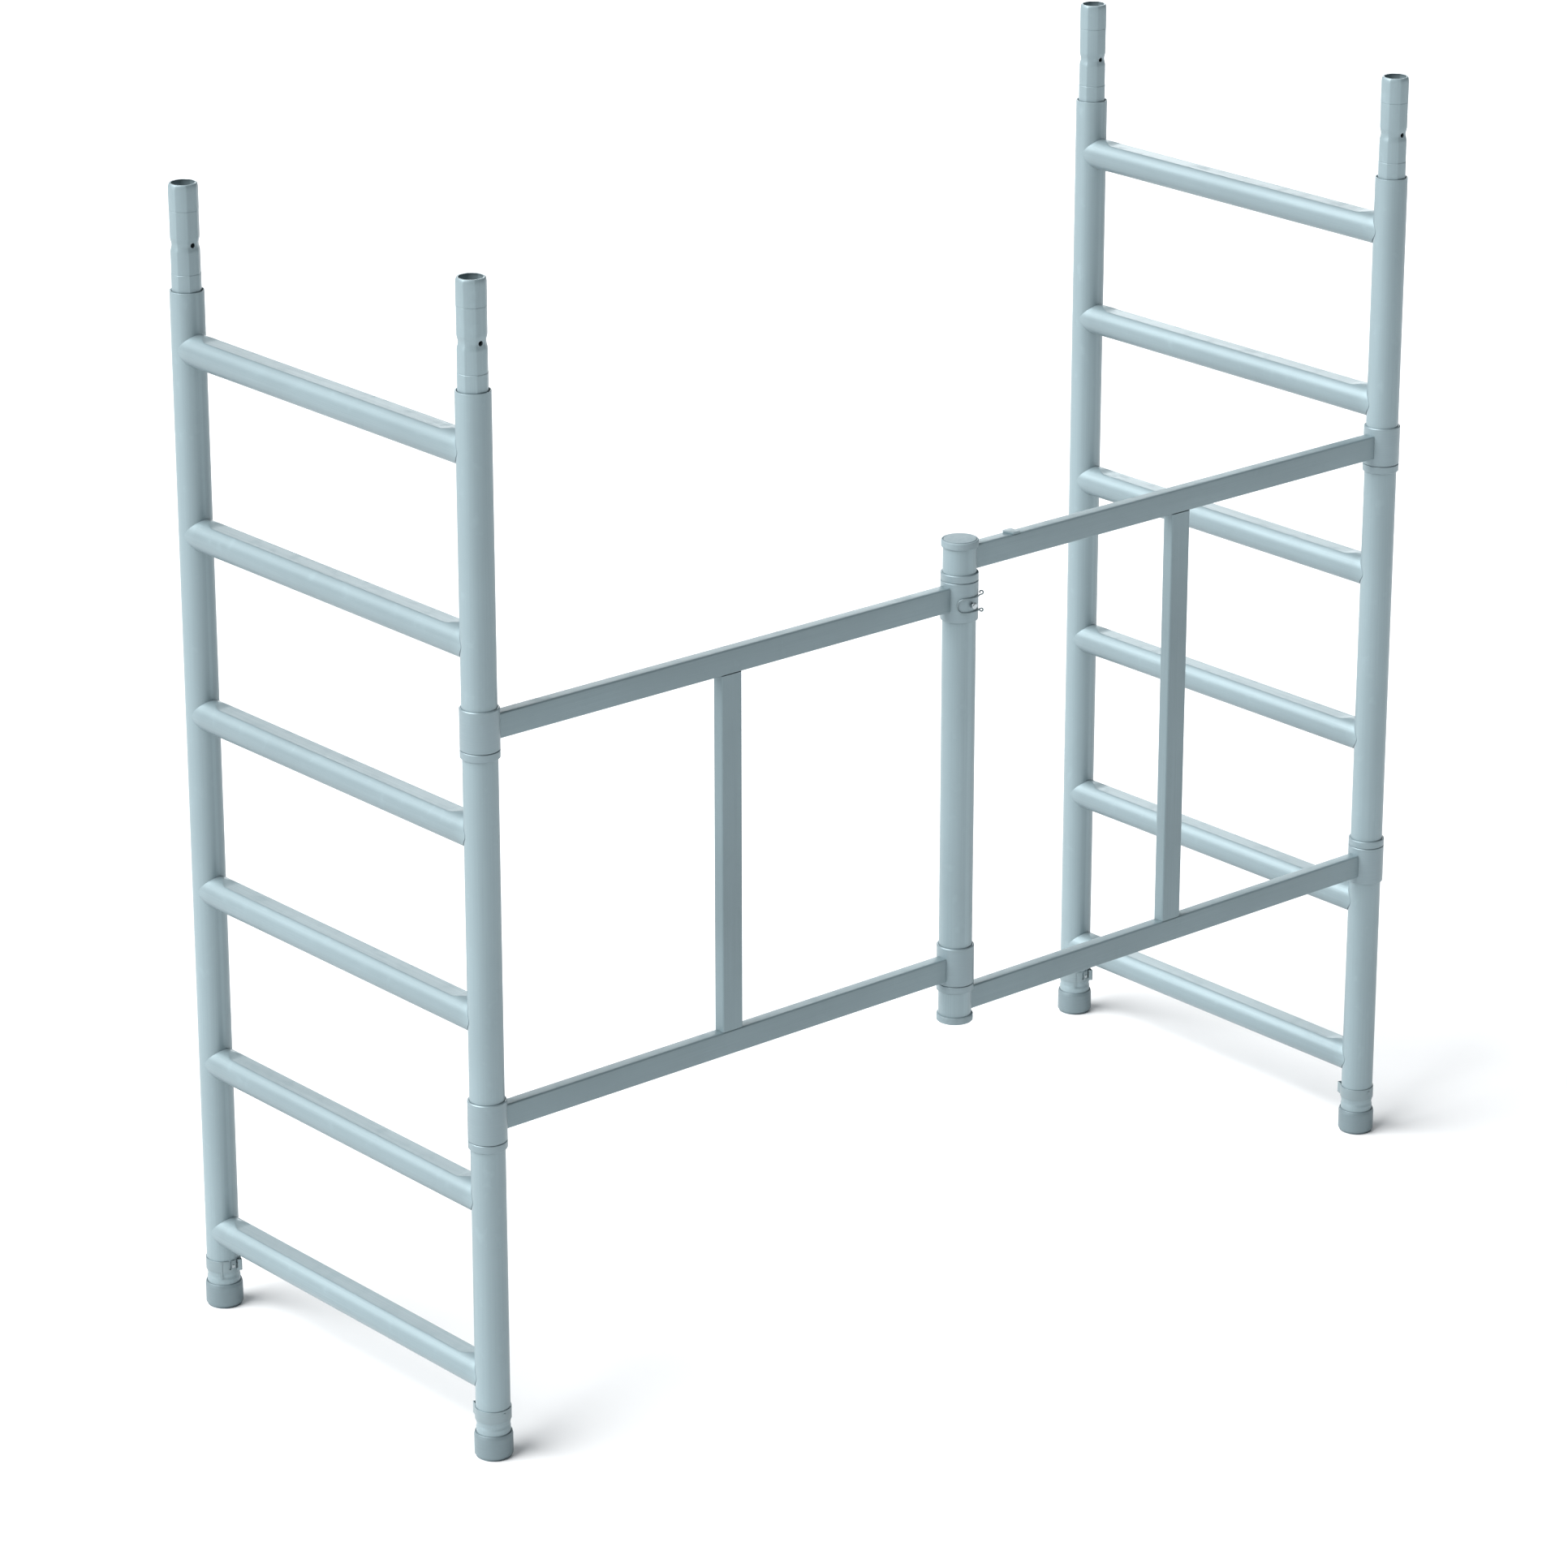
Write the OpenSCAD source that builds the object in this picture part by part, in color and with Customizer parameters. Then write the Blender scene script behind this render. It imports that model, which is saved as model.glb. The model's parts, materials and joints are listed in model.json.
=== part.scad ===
// Folding base frame of a mobile scaffold tower.
// Two ladder end frames are joined on one side by a gate that folds in the middle.
// X runs along the gate, Y from the gate side to the open side, Z up; the feet stand on Z = 0.

/* [Overall] */
// Distance between the two ladders, upright centre to upright centre
gate_l = 1800; // [1200:10:2400]
// Width of a ladder, upright centre to upright centre
ladder_w = 675; // [450:5:1200]
// Height of the shoulder above the top rung
shoulder_rise = 87; // [60:1:150]

/* [Upright tube] */
// Outer diameter of the uprights and of the centre post
tube_d = 50.8; // [46:0.1:60]
// Wall of the uprights and of the centre post
tube_wall = 2.2; // [1.6:0.1:3]
// Depth of the crimped neck above the foot, on radius
neck_depth = 0.7; // [0.2:0.1:1]
// Height of the crimped neck above the ground
neck_z = 51; // [46:0.5:53]
// Height of the crimped neck, slopes included
neck_h = 10; // [6:0.5:12]

/* [Rungs] */
// How much smaller a rung's radius is than the upright's
rung_step = 0.4; // [0.2:0.1:6]
// Wall of a rung
rung_wall = 2; // [1.5:0.1:3]
// Height of the lowest rung centre above the ground
first_rung_z = 125; // [115:1:180]
// Spacing of the rungs
rung_pitch = 280; // [230:1:340]
// Depth of the flat tread below the top of the round rung
tread_drop = 3.5; // [2:0.1:6]
// Round length at each end of a rung before the tread starts
tread_margin = 38; // [32:1:80]
// Length over which the round end runs out into the flat tread
tread_runout = 22; // [10:1:40]

/* [Spigots] */
// Height of a spigot above the shoulder
spigot_h = 159; // [140:1:200]
// Radial clearance of a spigot in the neck of the next upright
spigot_clear = 0.2; // [0.1:0.1:1]
// Relief between the guiding bands, on radius
spigot_relief = 0.3; // [0.1:0.1:0.5]
// Wall of a spigot
spigot_wall = 2.4; // [1.6:0.1:3]
// Length of the spigot held inside the upright
spigot_hold = 90; // [60:1:120]
// Height of the lower guiding band above the shoulder
spigot_low_band = 25; // [15:1:35]
// Height of the upper guiding band, tip included
spigot_top_band = 39; // [30:1:45]
// Depth of the neck of a spigot, on radius
spigot_neck = 1.8; // [1:0.1:2.5]
// Radius taken off the tip of a spigot
spigot_tip = 2.6; // [1:0.1:4]

/* [Feet and stacking locks] */
// Wall of the feet, hinge collars and stop rings
foot_wall = 3.2; // [2.6:0.1:6]
// Height of a foot
foot_h = 39; // [30:1:41]
// Height of the lock pin above the foot, and of the spigot hole above the shoulder
lock_z = 69; // [67:0.5:74]
// Diameter of the stacking lock pin
lock_pin_d = 6; // [5:0.1:6.6]
// Radial clearance round the stacking lock pin
pin_clear = 0.3; // [0.2:0.05:0.5]
// How far the lock pin reaches into the tube's bore
lock_reach = 4.5; // [3:0.5:8]
// Height of the spring clip band
band_h = 19; // [14:0.5:22]
// Thickness of the spring clip strip
band_t = 1.5; // [1:0.1:2]
// How far the finger ear's tip stands off the upright
ear_rise = 8.6; // [6:0.1:14]

/* [Gate] */
// Height of the gate's middle above the middle of the ladders
gate_rise = 1; // [-3:0.5:3]
// Distance of the right half's rails inside the second and the fifth rung
rail_inset = 66.25; // [62:0.25:90]
// How far the left half's rails stand outside the middles of the post's collars
rail_offset = 4.8; // [0:0.1:5]
// Height of the rails' section
rail_h = 38; // [30:1:40]
// Depth of the rails' section
rail_depth = 20; // [16:1:30]
// Wall of the rails and stiles
rail_wall = 2; // [1.5:0.1:3]
// Width of a stile
stile_w = 38; // [30:1:50]
// Height of a hinge collar
collar_h = 62; // [52:1:74]
// Radial running clearance of a hinge collar
collar_clear = 0.1; // [0.05:0.01:0.2]
// Rise of the left collars above the rails they carry
collar_rise = 1.75; // [0:0.25:4]
// Height of a stop ring
ring_h = 11.7; // [8:0.1:14]
// Gap between a collar and its stop ring
face_gap = 0.3; // [0.1:0.05:0.5]
// Corner radius of the rails and stiles
rail_corner = 3; // [2.2:0.1:5]
// Height of a post cap
cap_h = 11; // [8:0.5:14]
// Thickness of a post cap's disc
cap_t = 3; // [2:0.5:4]
// Gap between the end rails and the post caps
cap_gap = 1; // [0.5:0.5:3]

/* [Fold lock] */
// Height of the fold lock above the underside of its collar
fold_rise = 27.9; // [24:0.1:34]
// Diameter of the fold lock pin
fold_pin_d = 7; // [5:0.5:9]
// Diameter of the fold lock pin's head
fold_head_d = 10; // [8.5:0.5:13]
// How far the head stands off the collar at rest
fold_standoff = 4; // [3.5:0.5:6]
// Angle between the two gate halves' straight and folded positions
fold_angle = 170; // [150:1:172]
// Diameter of the lock's spring wire
wire_d = 2.2; // [1.5:0.1:3]
// Half the spacing of the spring wire's legs
wire_half = 11; // [8.5:0.5:14]

/* [Hidden] */
rungs = 6;
$fn = 64;
alloy = [0.72, 0.78, 0.80];
alloy_dark = [0.60, 0.67, 0.70];
steel = [0.78, 0.81, 0.83];

tube_r = tube_d / 2;
bore_r = tube_r - tube_wall;
foot_r = tube_r + foot_wall;
half_gate = gate_l / 2;
rung_r = tube_r - rung_step;
tread_h = rung_r - tread_drop;
upright_h = first_rung_z + (rungs - 1) * rung_pitch + shoulder_rise;
spigot_r = bore_r - neck_depth - spigot_clear;
shaft_r = spigot_r - spigot_relief;
band_r = tube_r + band_t;
band_z = lock_z - band_h / 2;
lever_r = tube_r + face_gap;
ear_reach = tube_r + ear_rise;
pin_hole_d = lock_pin_d + 2 * pin_clear;

// Heights of the right half's rails, between the second and the fifth rung
gate_mid = first_rung_z + (rungs - 1) / 2 * rung_pitch + gate_rise;
right_low = gate_mid - 1.5 * rung_pitch + rail_inset;
right_high = gate_mid + 1.5 * rung_pitch - rail_inset;

// The post's collars run between its two stop rings, and its rings between the right rails
post_ring_low = right_low + rail_h / 2 + face_gap;
post_ring_high = right_high - rail_h / 2 - face_gap - ring_h;
post_collar_low = post_ring_low + ring_h + face_gap;
post_collar_high = post_ring_high - face_gap - collar_h;

// Heights of the left half's rails, which the post's collars carry
left_low = post_collar_low + collar_h / 2 - rail_offset;
left_high = post_collar_high + collar_h / 2 + rail_offset;

// Undersides of the hinge collars
left_collar_low = left_low + collar_rise - collar_h / 2;
left_collar_high = left_high + collar_rise - collar_h / 2;
right_collar_low = right_low - collar_h / 2;
right_collar_high = right_high - collar_h / 2;

// Undersides of the stop rings on the uprights
left_ring_low = left_collar_low - face_gap - ring_h;
left_ring_high = left_collar_high - face_gap - ring_h;
right_ring_low = right_collar_low + collar_h + face_gap;
right_ring_high = right_collar_high - face_gap - ring_h;

// Ends of the centre post: the caps' rims start just past the right rails
cap_low = right_low - rail_h / 2 - cap_gap;
cap_high = right_high + rail_h / 2 + cap_gap;

// The fold lock's pin crosses the wall of the post's upper collar
fold_z = post_collar_high + fold_rise;
fold_tip_r = tube_r + face_gap;
fold_head_t = 3.5;
fold_reach = foot_r + fold_standoff + fold_head_t;

// The fold lock's wire lies on that collar, from its curled eyes round to its bend
wire_gap = 0.8;
wire_eye_gap = 3.2;
wire_r = foot_r + wire_d / 2 + wire_gap;
wire_eye_r = foot_r + wire_d / 2 + wire_eye_gap;
wire_eye_a = -44;
wire_bend_a = -118;
wire_bend_span = wire_half / wire_r * 180 / PI;

// The origin is at the middle of the footprint
origin_y = (ladder_w + foot_r - fold_reach) / 2;

// Places of the four uprights
left_front = [0, 0];
left_rear = [0, ladder_w];
right_front = [gate_l, 0];
right_rear = [gate_l, ladder_w];

module place(at) {
    translate([at[0] - half_gate, at[1] - origin_y, 0]) children();
}

// Puts a piece on an upright, turned so that its own +Y faces the ladder's other upright
module on_upright(at) {
    place(at) rotate([0, 0, at[1] > 0 ? 180 : 0]) children();
}

// Rectangular bar along X with rounded long edges
module rounded_bar(length, depth, height, r) {
    rotate([90, 0, 90])
        linear_extrude(length)
            rounded_rect(depth, height, r);
}

// Rectangle about the origin with quarter-round corners
module rounded_rect(w, h, r) {
    square([w - 2 * r, h], center = true);
    square([w, h - 2 * r], center = true);
    for (sx = [-1, 1])
        for (sy = [-1, 1])
            translate([sx * (w / 2 - r), sy * (h / 2 - r)])
                circle(r);
}

// Rectangular tube along X; both ends open
module box_tube(length, depth, height, wall, r) {
    difference() {
        rounded_bar(length, depth, height, r);
        translate([-1, 0, 0])
            rounded_bar(length + 2, depth - 2 * wall, height - 2 * wall, r - wall / 2);
    }
}

// ---- ladder pieces ----

// Half section of an upright: straight tube with a shallow neck above the foot
function tube_side(r) = [
    [r, 0],
    [r, neck_z - neck_h / 2],
    [r - neck_depth, neck_z - neck_h / 4],
    [r - neck_depth, neck_z + neck_h / 4],
    [r, neck_z + neck_h / 2],
    [r, upright_h]];

function reversed(list) = [for (i = [len(list) - 1 : -1 : 0]) list[i]];

module upright(at) {
    color(alloy) on_upright(at)
        difference() {
            rotate_extrude()
                polygon(concat(tube_side(tube_r), reversed(tube_side(bore_r))));
            translate([0, tube_r + 1, lock_z])
                rotate([90, 0, 0])
                    cylinder(h = tube_r, d = pin_hole_d);
        }
}

// The tread is cut off a round bar; the cut slopes out to the round ends
module tread_cut(r, h, margin) {
    cut_y0 = margin;
    cut_y1 = ladder_w - margin;
    rise = r + 1 - h;
    rotate([90, 0, 90])
        translate([0, 0, -r - 1])
            linear_extrude(2 * r + 2)
                polygon([
                    [cut_y0 - tread_runout * rise / (r - h), r + 1],
                    [cut_y0, h],
                    [cut_y1, h],
                    [cut_y1 + tread_runout * rise / (r - h), r + 1]]);
}

// A round bar between the uprights with the flat tread on its top
module rung_body(r, h, margin) {
    difference() {
        rotate([-90, 0, 0])
            cylinder(h = ladder_w, r = r);
        tread_cut(r, h, margin);
    }
}

module rung(x, index) {
    tread_y = tread_margin + tread_runout;
    color(alloy) place([x, 0])
        translate([0, 0, first_rung_z + (index - 1) * rung_pitch])
            difference() {
                rung_body(rung_r, tread_h, tread_y);
                rung_body(rung_r - rung_wall, tread_h - rung_wall, tread_y);
                for (y = [0, ladder_w])
                    translate([0, y, -rung_r - 1])
                        cylinder(h = 2 * rung_r + 2, r = tube_r);
            }
}

// Half section of a spigot, from its held end up; inset moves it in by the wall
function spigot_side(inset) = let (
    step = 1,
    half_neck = 3,
    slope_low = 8,
    slope_high = 6,
    roll_start = 9,
    roll_mid = 4,
    top = upright_h + spigot_h,
    hole = upright_h + lock_z,
    low = upright_h + spigot_low_band,
    high = top - spigot_top_band,
    r = shaft_r - inset,
    band = spigot_r - inset) [
    [bore_r - inset, upright_h - spigot_hold],
    [bore_r - inset, upright_h - 2 * step],
    [band, upright_h],
    [band, low],
    [r, low + step],
    [r, hole - half_neck - slope_low],
    [r - spigot_neck, hole - half_neck],
    [r - spigot_neck, hole + half_neck],
    [r, hole + half_neck + slope_high],
    [r, high],
    [band, high + step],
    [band, top - roll_start],
    [band - spigot_tip * 0.3, top - roll_mid],
    [band - spigot_tip, top]];

module spigot(at) {
    color(alloy) on_upright(at)
        difference() {
            rotate_extrude()
                polygon(concat(spigot_side(0), reversed(spigot_side(spigot_wall))));
            translate([0, 0, upright_h + lock_z])
                rotate([90, 0, 0])
                    cylinder(h = 2 * tube_d, d = pin_hole_d + 1, center = true);
        }
}

module foot(at) {
    chamfer = 3;
    color(alloy) on_upright(at)
        rotate_extrude()
            polygon([
                [tube_r, 0],
                [foot_r - chamfer, 0],
                [foot_r, chamfer],
                [foot_r, foot_h - 2 * chamfer],
                [tube_r + 0.6, foot_h],
                [tube_r, foot_h]]);
}

// ---- stacking lock: a spring strip round the foot with a pin through the tube ----
// Angles on the clip are counted so that the pin is at 90 degrees

lever_start = 52;
lever_end = 106;
ear_root_a = 103;
ear_tip_a = 113;
ear_end = 130;
clip_gap = 1;
tongue_half = 9;
slot_end = 16;
tongue_turn = 9;

// Flat outline of all that lies between two angles
module pie(a0, a1) {
    reach = 2 * tube_d;
    steps = 4;
    polygon(concat(
        [[0, 0]],
        [for (i = [0 : steps]) let (a = a0 + (a1 - a0) * i / steps) reach * [cos(a), sin(a)]]));
}

// Prism over the space between two angles, for cutting rings
module wedge(a0, a1, h) {
    linear_extrude(h) pie(a0, a1);
}

module clip_band(at) {
    tongue_low = neck_z;
    band_top = band_z + band_h;
    rivet_head = 1.4;
    color(alloy_dark) on_upright(at) {
        difference() {
            translate([0, 0, tongue_low])
                cylinder(h = band_top - tongue_low, r = band_r);
            translate([0, 0, tongue_low - 1])
                cylinder(h = band_top - tongue_low + 2, r = tube_r);
            // Room for the lever and its ear
            translate([0, 0, tongue_low - 1])
                wedge(lever_start - clip_gap, ear_end + 6, band_top);
            // Below the strip only the tongue beside the lever is left
            translate([0, 0, tongue_low - 1])
                wedge(ear_end, 360 + lever_start - tongue_turn, band_z - tongue_low + 1);
        }
        // Rivet head that holds the band on the far side of the tube
        translate([0, -band_r + band_t / 2, lock_z + band_h / 5])
            rotate([90, 0, 0])
                cylinder(h = rivet_head + band_t / 2, d = 5);
    }
}

// Strip in plan along two straight legs that meet at the point q
module folded_strip(p, q, r, t) {
    n1 = across(p, q);
    n2 = across(q, r);
    mitre = (n1 + n2) / (1 + n1 * n2);
    polygon([
        p + n1 * t / 2,
        q + mitre * t / 2,
        r + n2 * t / 2,
        r - n2 * t / 2,
        q - mitre * t / 2,
        p - n1 * t / 2]);
}

// Unit vector across the way from p to q
function across(p, q) = [p[1] - q[1], q[0] - p[0]] / norm(q - p);

// The lever's strip has two slots beside the tongue that carries the pin, and ends in a folded ear
module clip_lever(at) {
    slot_z = band_h * 0.25;
    mid_r = lever_r + band_t / 2;
    ear_t = band_t * 0.8;
    ear_tip = ear_reach * [cos(ear_tip_a), sin(ear_tip_a)];
    ear_near = mid_r * [cos(ear_root_a), sin(ear_root_a)];
    ear_far = mid_r * [cos(ear_end), sin(ear_end)];
    color(alloy_dark) on_upright(at)
        translate([0, 0, band_z])
            difference() {
                union() {
                    linear_extrude(band_h)
                        difference() {
                            circle(r = lever_r + band_t);
                            circle(r = lever_r);
                            pie(lever_end, lever_start + 360);
                        }
                    linear_extrude(band_h)
                        folded_strip(ear_near, ear_tip, ear_far, ear_t);
                }
                for (a = [90 - slot_end, 90 + tongue_half])
                    translate([0, 0, slot_z])
                        wedge(a, a + slot_end - tongue_half, band_h);
                translate([0, 0, lock_z - band_z])
                    rotate([-90, 0, 0])
                        cylinder(h = 2 * foot_r, d = lock_pin_d);
            }
}

module lock_pin(at) {
    tip = bore_r - lock_reach;
    out = lever_r + band_t + 1;
    color(steel) on_upright(at)
        translate([0, 0, lock_z])
            rotate([-90, 0, 0])
                rotate_extrude()
                    polygon([
                        [0, tip],
                        [lock_pin_d / 2 - 1, tip],
                        [lock_pin_d / 2, tip + 1],
                        [lock_pin_d / 2, out - 0.5],
                        [lock_pin_d / 2 - 0.5, out],
                        [0, out]]);
}

// ---- hinge collars and the rings that keep them in place ----

// Ring round a tube: bore radius, height and outer edge chamfer
module ring(bore, height, chamfer) {
    rotate_extrude()
        polygon([
            [bore, 0],
            [foot_r - chamfer, 0],
            [foot_r, chamfer],
            [foot_r, height - chamfer],
            [foot_r - chamfer, height],
            [bore, height]]);
}

module stop_ring(at, z) {
    color(alloy) place(at)
        translate([0, 0, z]) ring(tube_r, ring_h, 1);
}

module collar(at, z) {
    color(alloy) place(at)
        translate([0, 0, z]) ring(tube_r + collar_clear, collar_h, 1.5);
}

// The post's upper collar has the hole of the fold lock
module post_collar_upper() {
    color(alloy) difference() {
        collar([half_gate, 0], post_collar_high);
        fold_lock_hole(0);
    }
}

// Radial hole through the wall on the -Y side, turned about the post
module fold_lock_hole(turn) {
    place([half_gate, 0])
        translate([0, 0, fold_z])
            rotate([90, 0, turn])
                cylinder(h = 2 * foot_r, d = fold_pin_d + 2 * pin_clear);
}

// ---- gate ----

// Rail along X between two round tubes; its ends are coped to them
module rail(x0, x1, r0, r1, z) {
    color(alloy) place([0, 0])
        translate([0, 0, z])
            difference() {
                translate([x0, 0, 0])
                    box_tube(x1 - x0, rail_depth, rail_h, rail_wall, rail_corner);
                translate([x0, 0, -rail_h])
                    cylinder(h = 2 * rail_h, r = r0);
                translate([x1, 0, -rail_h])
                    cylinder(h = 2 * rail_h, r = r1);
            }
}

module stile(x, z0, z1) {
    color(alloy) place([x, 0])
        translate([0, 0, z0 + rail_h / 2])
            rotate([0, -90, 0])
                box_tube(z1 - z0 - rail_h, rail_depth, stile_w, rail_wall, rail_corner);
}

module centre_post() {
    grip = cap_h - cap_t;
    color(alloy) difference() {
        place([half_gate, 0])
            translate([0, 0, cap_low - grip])
                difference() {
                    cylinder(h = cap_high - cap_low + 2 * grip, r = tube_r);
                    translate([0, 0, -1])
                        cylinder(h = cap_high - cap_low + 2 * grip + 2, r = bore_r);
                }
        fold_lock_hole(0);
        fold_lock_hole(fold_angle);
    }
}

// Cap that grips an end of the post: z is its open end, and up is 1 for the top cap and -1 for the lower one
module post_cap(z, up) {
    cap_r = foot_r - 0.6;
    color(alloy) place([half_gate, 0])
        translate([0, 0, z])
            rotate([up > 0 ? 0 : 180, 0, 0])
                rotate_extrude()
                    polygon([
                        [0, cap_h - cap_t],
                        [tube_r, cap_h - cap_t],
                        [tube_r, 0],
                        [cap_r, 0],
                        [cap_r, cap_h - 4],
                        [cap_r - 3.5, cap_h],
                        [0, cap_h + 1.5]]);
}

module rail_catch() {
    reach = 102;
    plate = [20, rail_depth + 2, 3];
    color(alloy_dark) place([half_gate + reach, 0])
        translate([0, 0, right_high + rail_h / 2])
            linear_extrude(plate[2])
                polygon([
                    [plate[0] / 2, plate[1] / 2],
                    [-plate[0] / 2 + 4, plate[1] / 2],
                    [-plate[0] / 2, plate[1] / 4],
                    [-plate[0] / 2 + 6, -plate[1] / 2],
                    [plate[0] / 2, -plate[1] / 2]]);
}

// ---- fold lock on the post's upper collar ----

module fold_lock_pin() {
    pin_r = fold_pin_d / 2;
    head_r = fold_head_d / 2;
    color(steel) place([half_gate, 0])
        translate([0, 0, fold_z])
            rotate([90, 0, 0])
                rotate_extrude()
                    polygon([
                        [0, fold_tip_r],
                        [pin_r - 0.8, fold_tip_r],
                        [pin_r, fold_tip_r + 0.8],
                        [pin_r, foot_r + fold_standoff],
                        [head_r, foot_r + fold_standoff],
                        [head_r, fold_reach - 1.5],
                        [head_r - 1.5, fold_reach],
                        [0, fold_reach]]);
}

// Point at an angle, a radius and a height about the post
function about_post(a, r, z) = [r * cos(a), r * sin(a), z];

// Half the wire's course: a curled eye that climbs off the collar, a leg along it and half the bend
function wire_half_path(side) = let (
    eye_curl = 2.6,
    z = side * wire_half,
    eye = [for (t = [210 : -20 : -90]) about_post(
        wire_eye_a - 1 + t / 60, wire_eye_r + eye_curl * cos(t), z + eye_curl * (1 + sin(t)))],
    leg = [for (a = [wire_eye_a - 8 : -8 : wire_bend_a + 4]) about_post(a, wire_r, z)],
    bend = [for (t = [0 : 15 : 75]) about_post(
        wire_bend_a - wire_bend_span * sin(t), wire_r, z * cos(t))])
    concat(eye, leg, bend);

function wire_path() = concat(
    wire_half_path(1),
    [about_post(wire_bend_a - wire_bend_span, wire_r, 0)],
    reversed(wire_half_path(-1)));

function unit(v) = v / norm(v);
function heading(path, i) = unit(path[min(i + 1, len(path) - 1)] - path[max(i - 1, 0)]);
function square_to(n, t) = unit(n - (n * t) * t);

// One vector across the path at each point, turned as little as possible from one to the next
function sides(path, n0) = [
    for (i = 0, n = square_to(n0, heading(path, 0)); i < len(path);
        i = i + 1, n = square_to(n, heading(path, i))) n];

// Round bar along a path
module bar_along(path, d, corners = 10) {
    n = sides(path, [0, 0, 1]);
    last = len(path) - 1;
    polyhedron(
        points = [for (i = [0 : last]) let (b = cross(heading(path, i), n[i]))
            for (k = [0 : corners - 1]) let (a = 360 * k / corners)
                path[i] + d / 2 * (cos(a) * n[i] + sin(a) * b)],
        faces = concat(
            [[for (k = [0 : corners - 1]) k]],
            [for (i = [0 : last - 1]) for (k = [0 : corners - 1]) let (k2 = (k + 1) % corners)
                [i * corners + k, (i + 1) * corners + k, (i + 1) * corners + k2, i * corners + k2]],
            [[for (k = [corners - 1 : -1 : 0]) last * corners + k]]));
}

module fold_lock_wire() {
    color(steel) place([half_gate, 0])
        translate([0, 0, fold_z])
            bar_along(wire_path(), wire_d);
}

upright(left_front);  // left_upright_front
upright(left_rear);  // left_upright_rear
upright(right_front);  // right_upright_front
upright(right_rear);  // right_upright_rear
rung(0, 1);  // left_rung_1
rung(0, 2);  // left_rung_2
rung(0, 3);  // left_rung_3
rung(0, 4);  // left_rung_4
rung(0, 5);  // left_rung_5
rung(0, 6);  // left_rung_6
rung(gate_l, 1);  // right_rung_1
rung(gate_l, 2);  // right_rung_2
rung(gate_l, 3);  // right_rung_3
rung(gate_l, 4);  // right_rung_4
rung(gate_l, 5);  // right_rung_5
rung(gate_l, 6);  // right_rung_6
spigot(left_front);  // left_spigot_front
spigot(left_rear);  // left_spigot_rear
spigot(right_front);  // right_spigot_front
spigot(right_rear);  // right_spigot_rear
foot(left_front);  // left_foot_front
foot(left_rear);  // left_foot_rear
foot(right_front);  // right_foot_front
foot(right_rear);  // right_foot_rear
clip_band(left_front);  // left_clip_band_front
clip_band(left_rear);  // left_clip_band_rear
clip_band(right_front);  // right_clip_band_front
clip_band(right_rear);  // right_clip_band_rear
clip_lever(left_front);  // left_clip_lever_front
clip_lever(left_rear);  // left_clip_lever_rear
clip_lever(right_front);  // right_clip_lever_front
clip_lever(right_rear);  // right_clip_lever_rear
lock_pin(left_front);  // left_lock_pin_front
lock_pin(left_rear);  // left_lock_pin_rear
lock_pin(right_front);  // right_lock_pin_front
lock_pin(right_rear);  // right_lock_pin_rear
stop_ring(left_front, left_ring_low);  // left_ring_lower
stop_ring(left_front, left_ring_high);  // left_ring_upper
stop_ring(right_front, right_ring_low);  // right_ring_lower
stop_ring(right_front, right_ring_high);  // right_ring_upper
stop_ring([half_gate, 0], post_ring_low);  // post_ring_lower
stop_ring([half_gate, 0], post_ring_high);  // post_ring_upper
collar(left_front, left_collar_low);  // left_collar_lower
collar(left_front, left_collar_high);  // left_collar_upper
collar([half_gate, 0], post_collar_low);  // post_collar_lower
post_collar_upper();
collar(right_front, right_collar_low);  // right_collar_lower
collar(right_front, right_collar_high);  // right_collar_upper
rail(0, half_gate, foot_r, foot_r, left_low);  // left_rail_lower
rail(0, half_gate, foot_r, foot_r, left_high);  // left_rail_upper
rail(half_gate, gate_l, tube_r, foot_r, right_low);  // right_rail_lower
rail(half_gate, gate_l, tube_r, foot_r, right_high);  // right_rail_upper
stile(half_gate / 2, left_low, left_high);  // left_stile
stile(gate_l - half_gate / 2, right_low, right_high);  // right_stile
centre_post();
post_cap(cap_low, -1);  // post_cap_lower
post_cap(cap_high, 1);  // post_cap_upper
fold_lock_pin();
fold_lock_wire();
rail_catch();
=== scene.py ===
"""Folding base frame of a mobile scaffold tower: two ladders joined by a gate that folds in the middle.

Lengths are in metres, X runs along the gate, Y from the gate side to the open side, and Z is up.
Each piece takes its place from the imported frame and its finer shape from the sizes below.
"""
import json
import math

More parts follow.
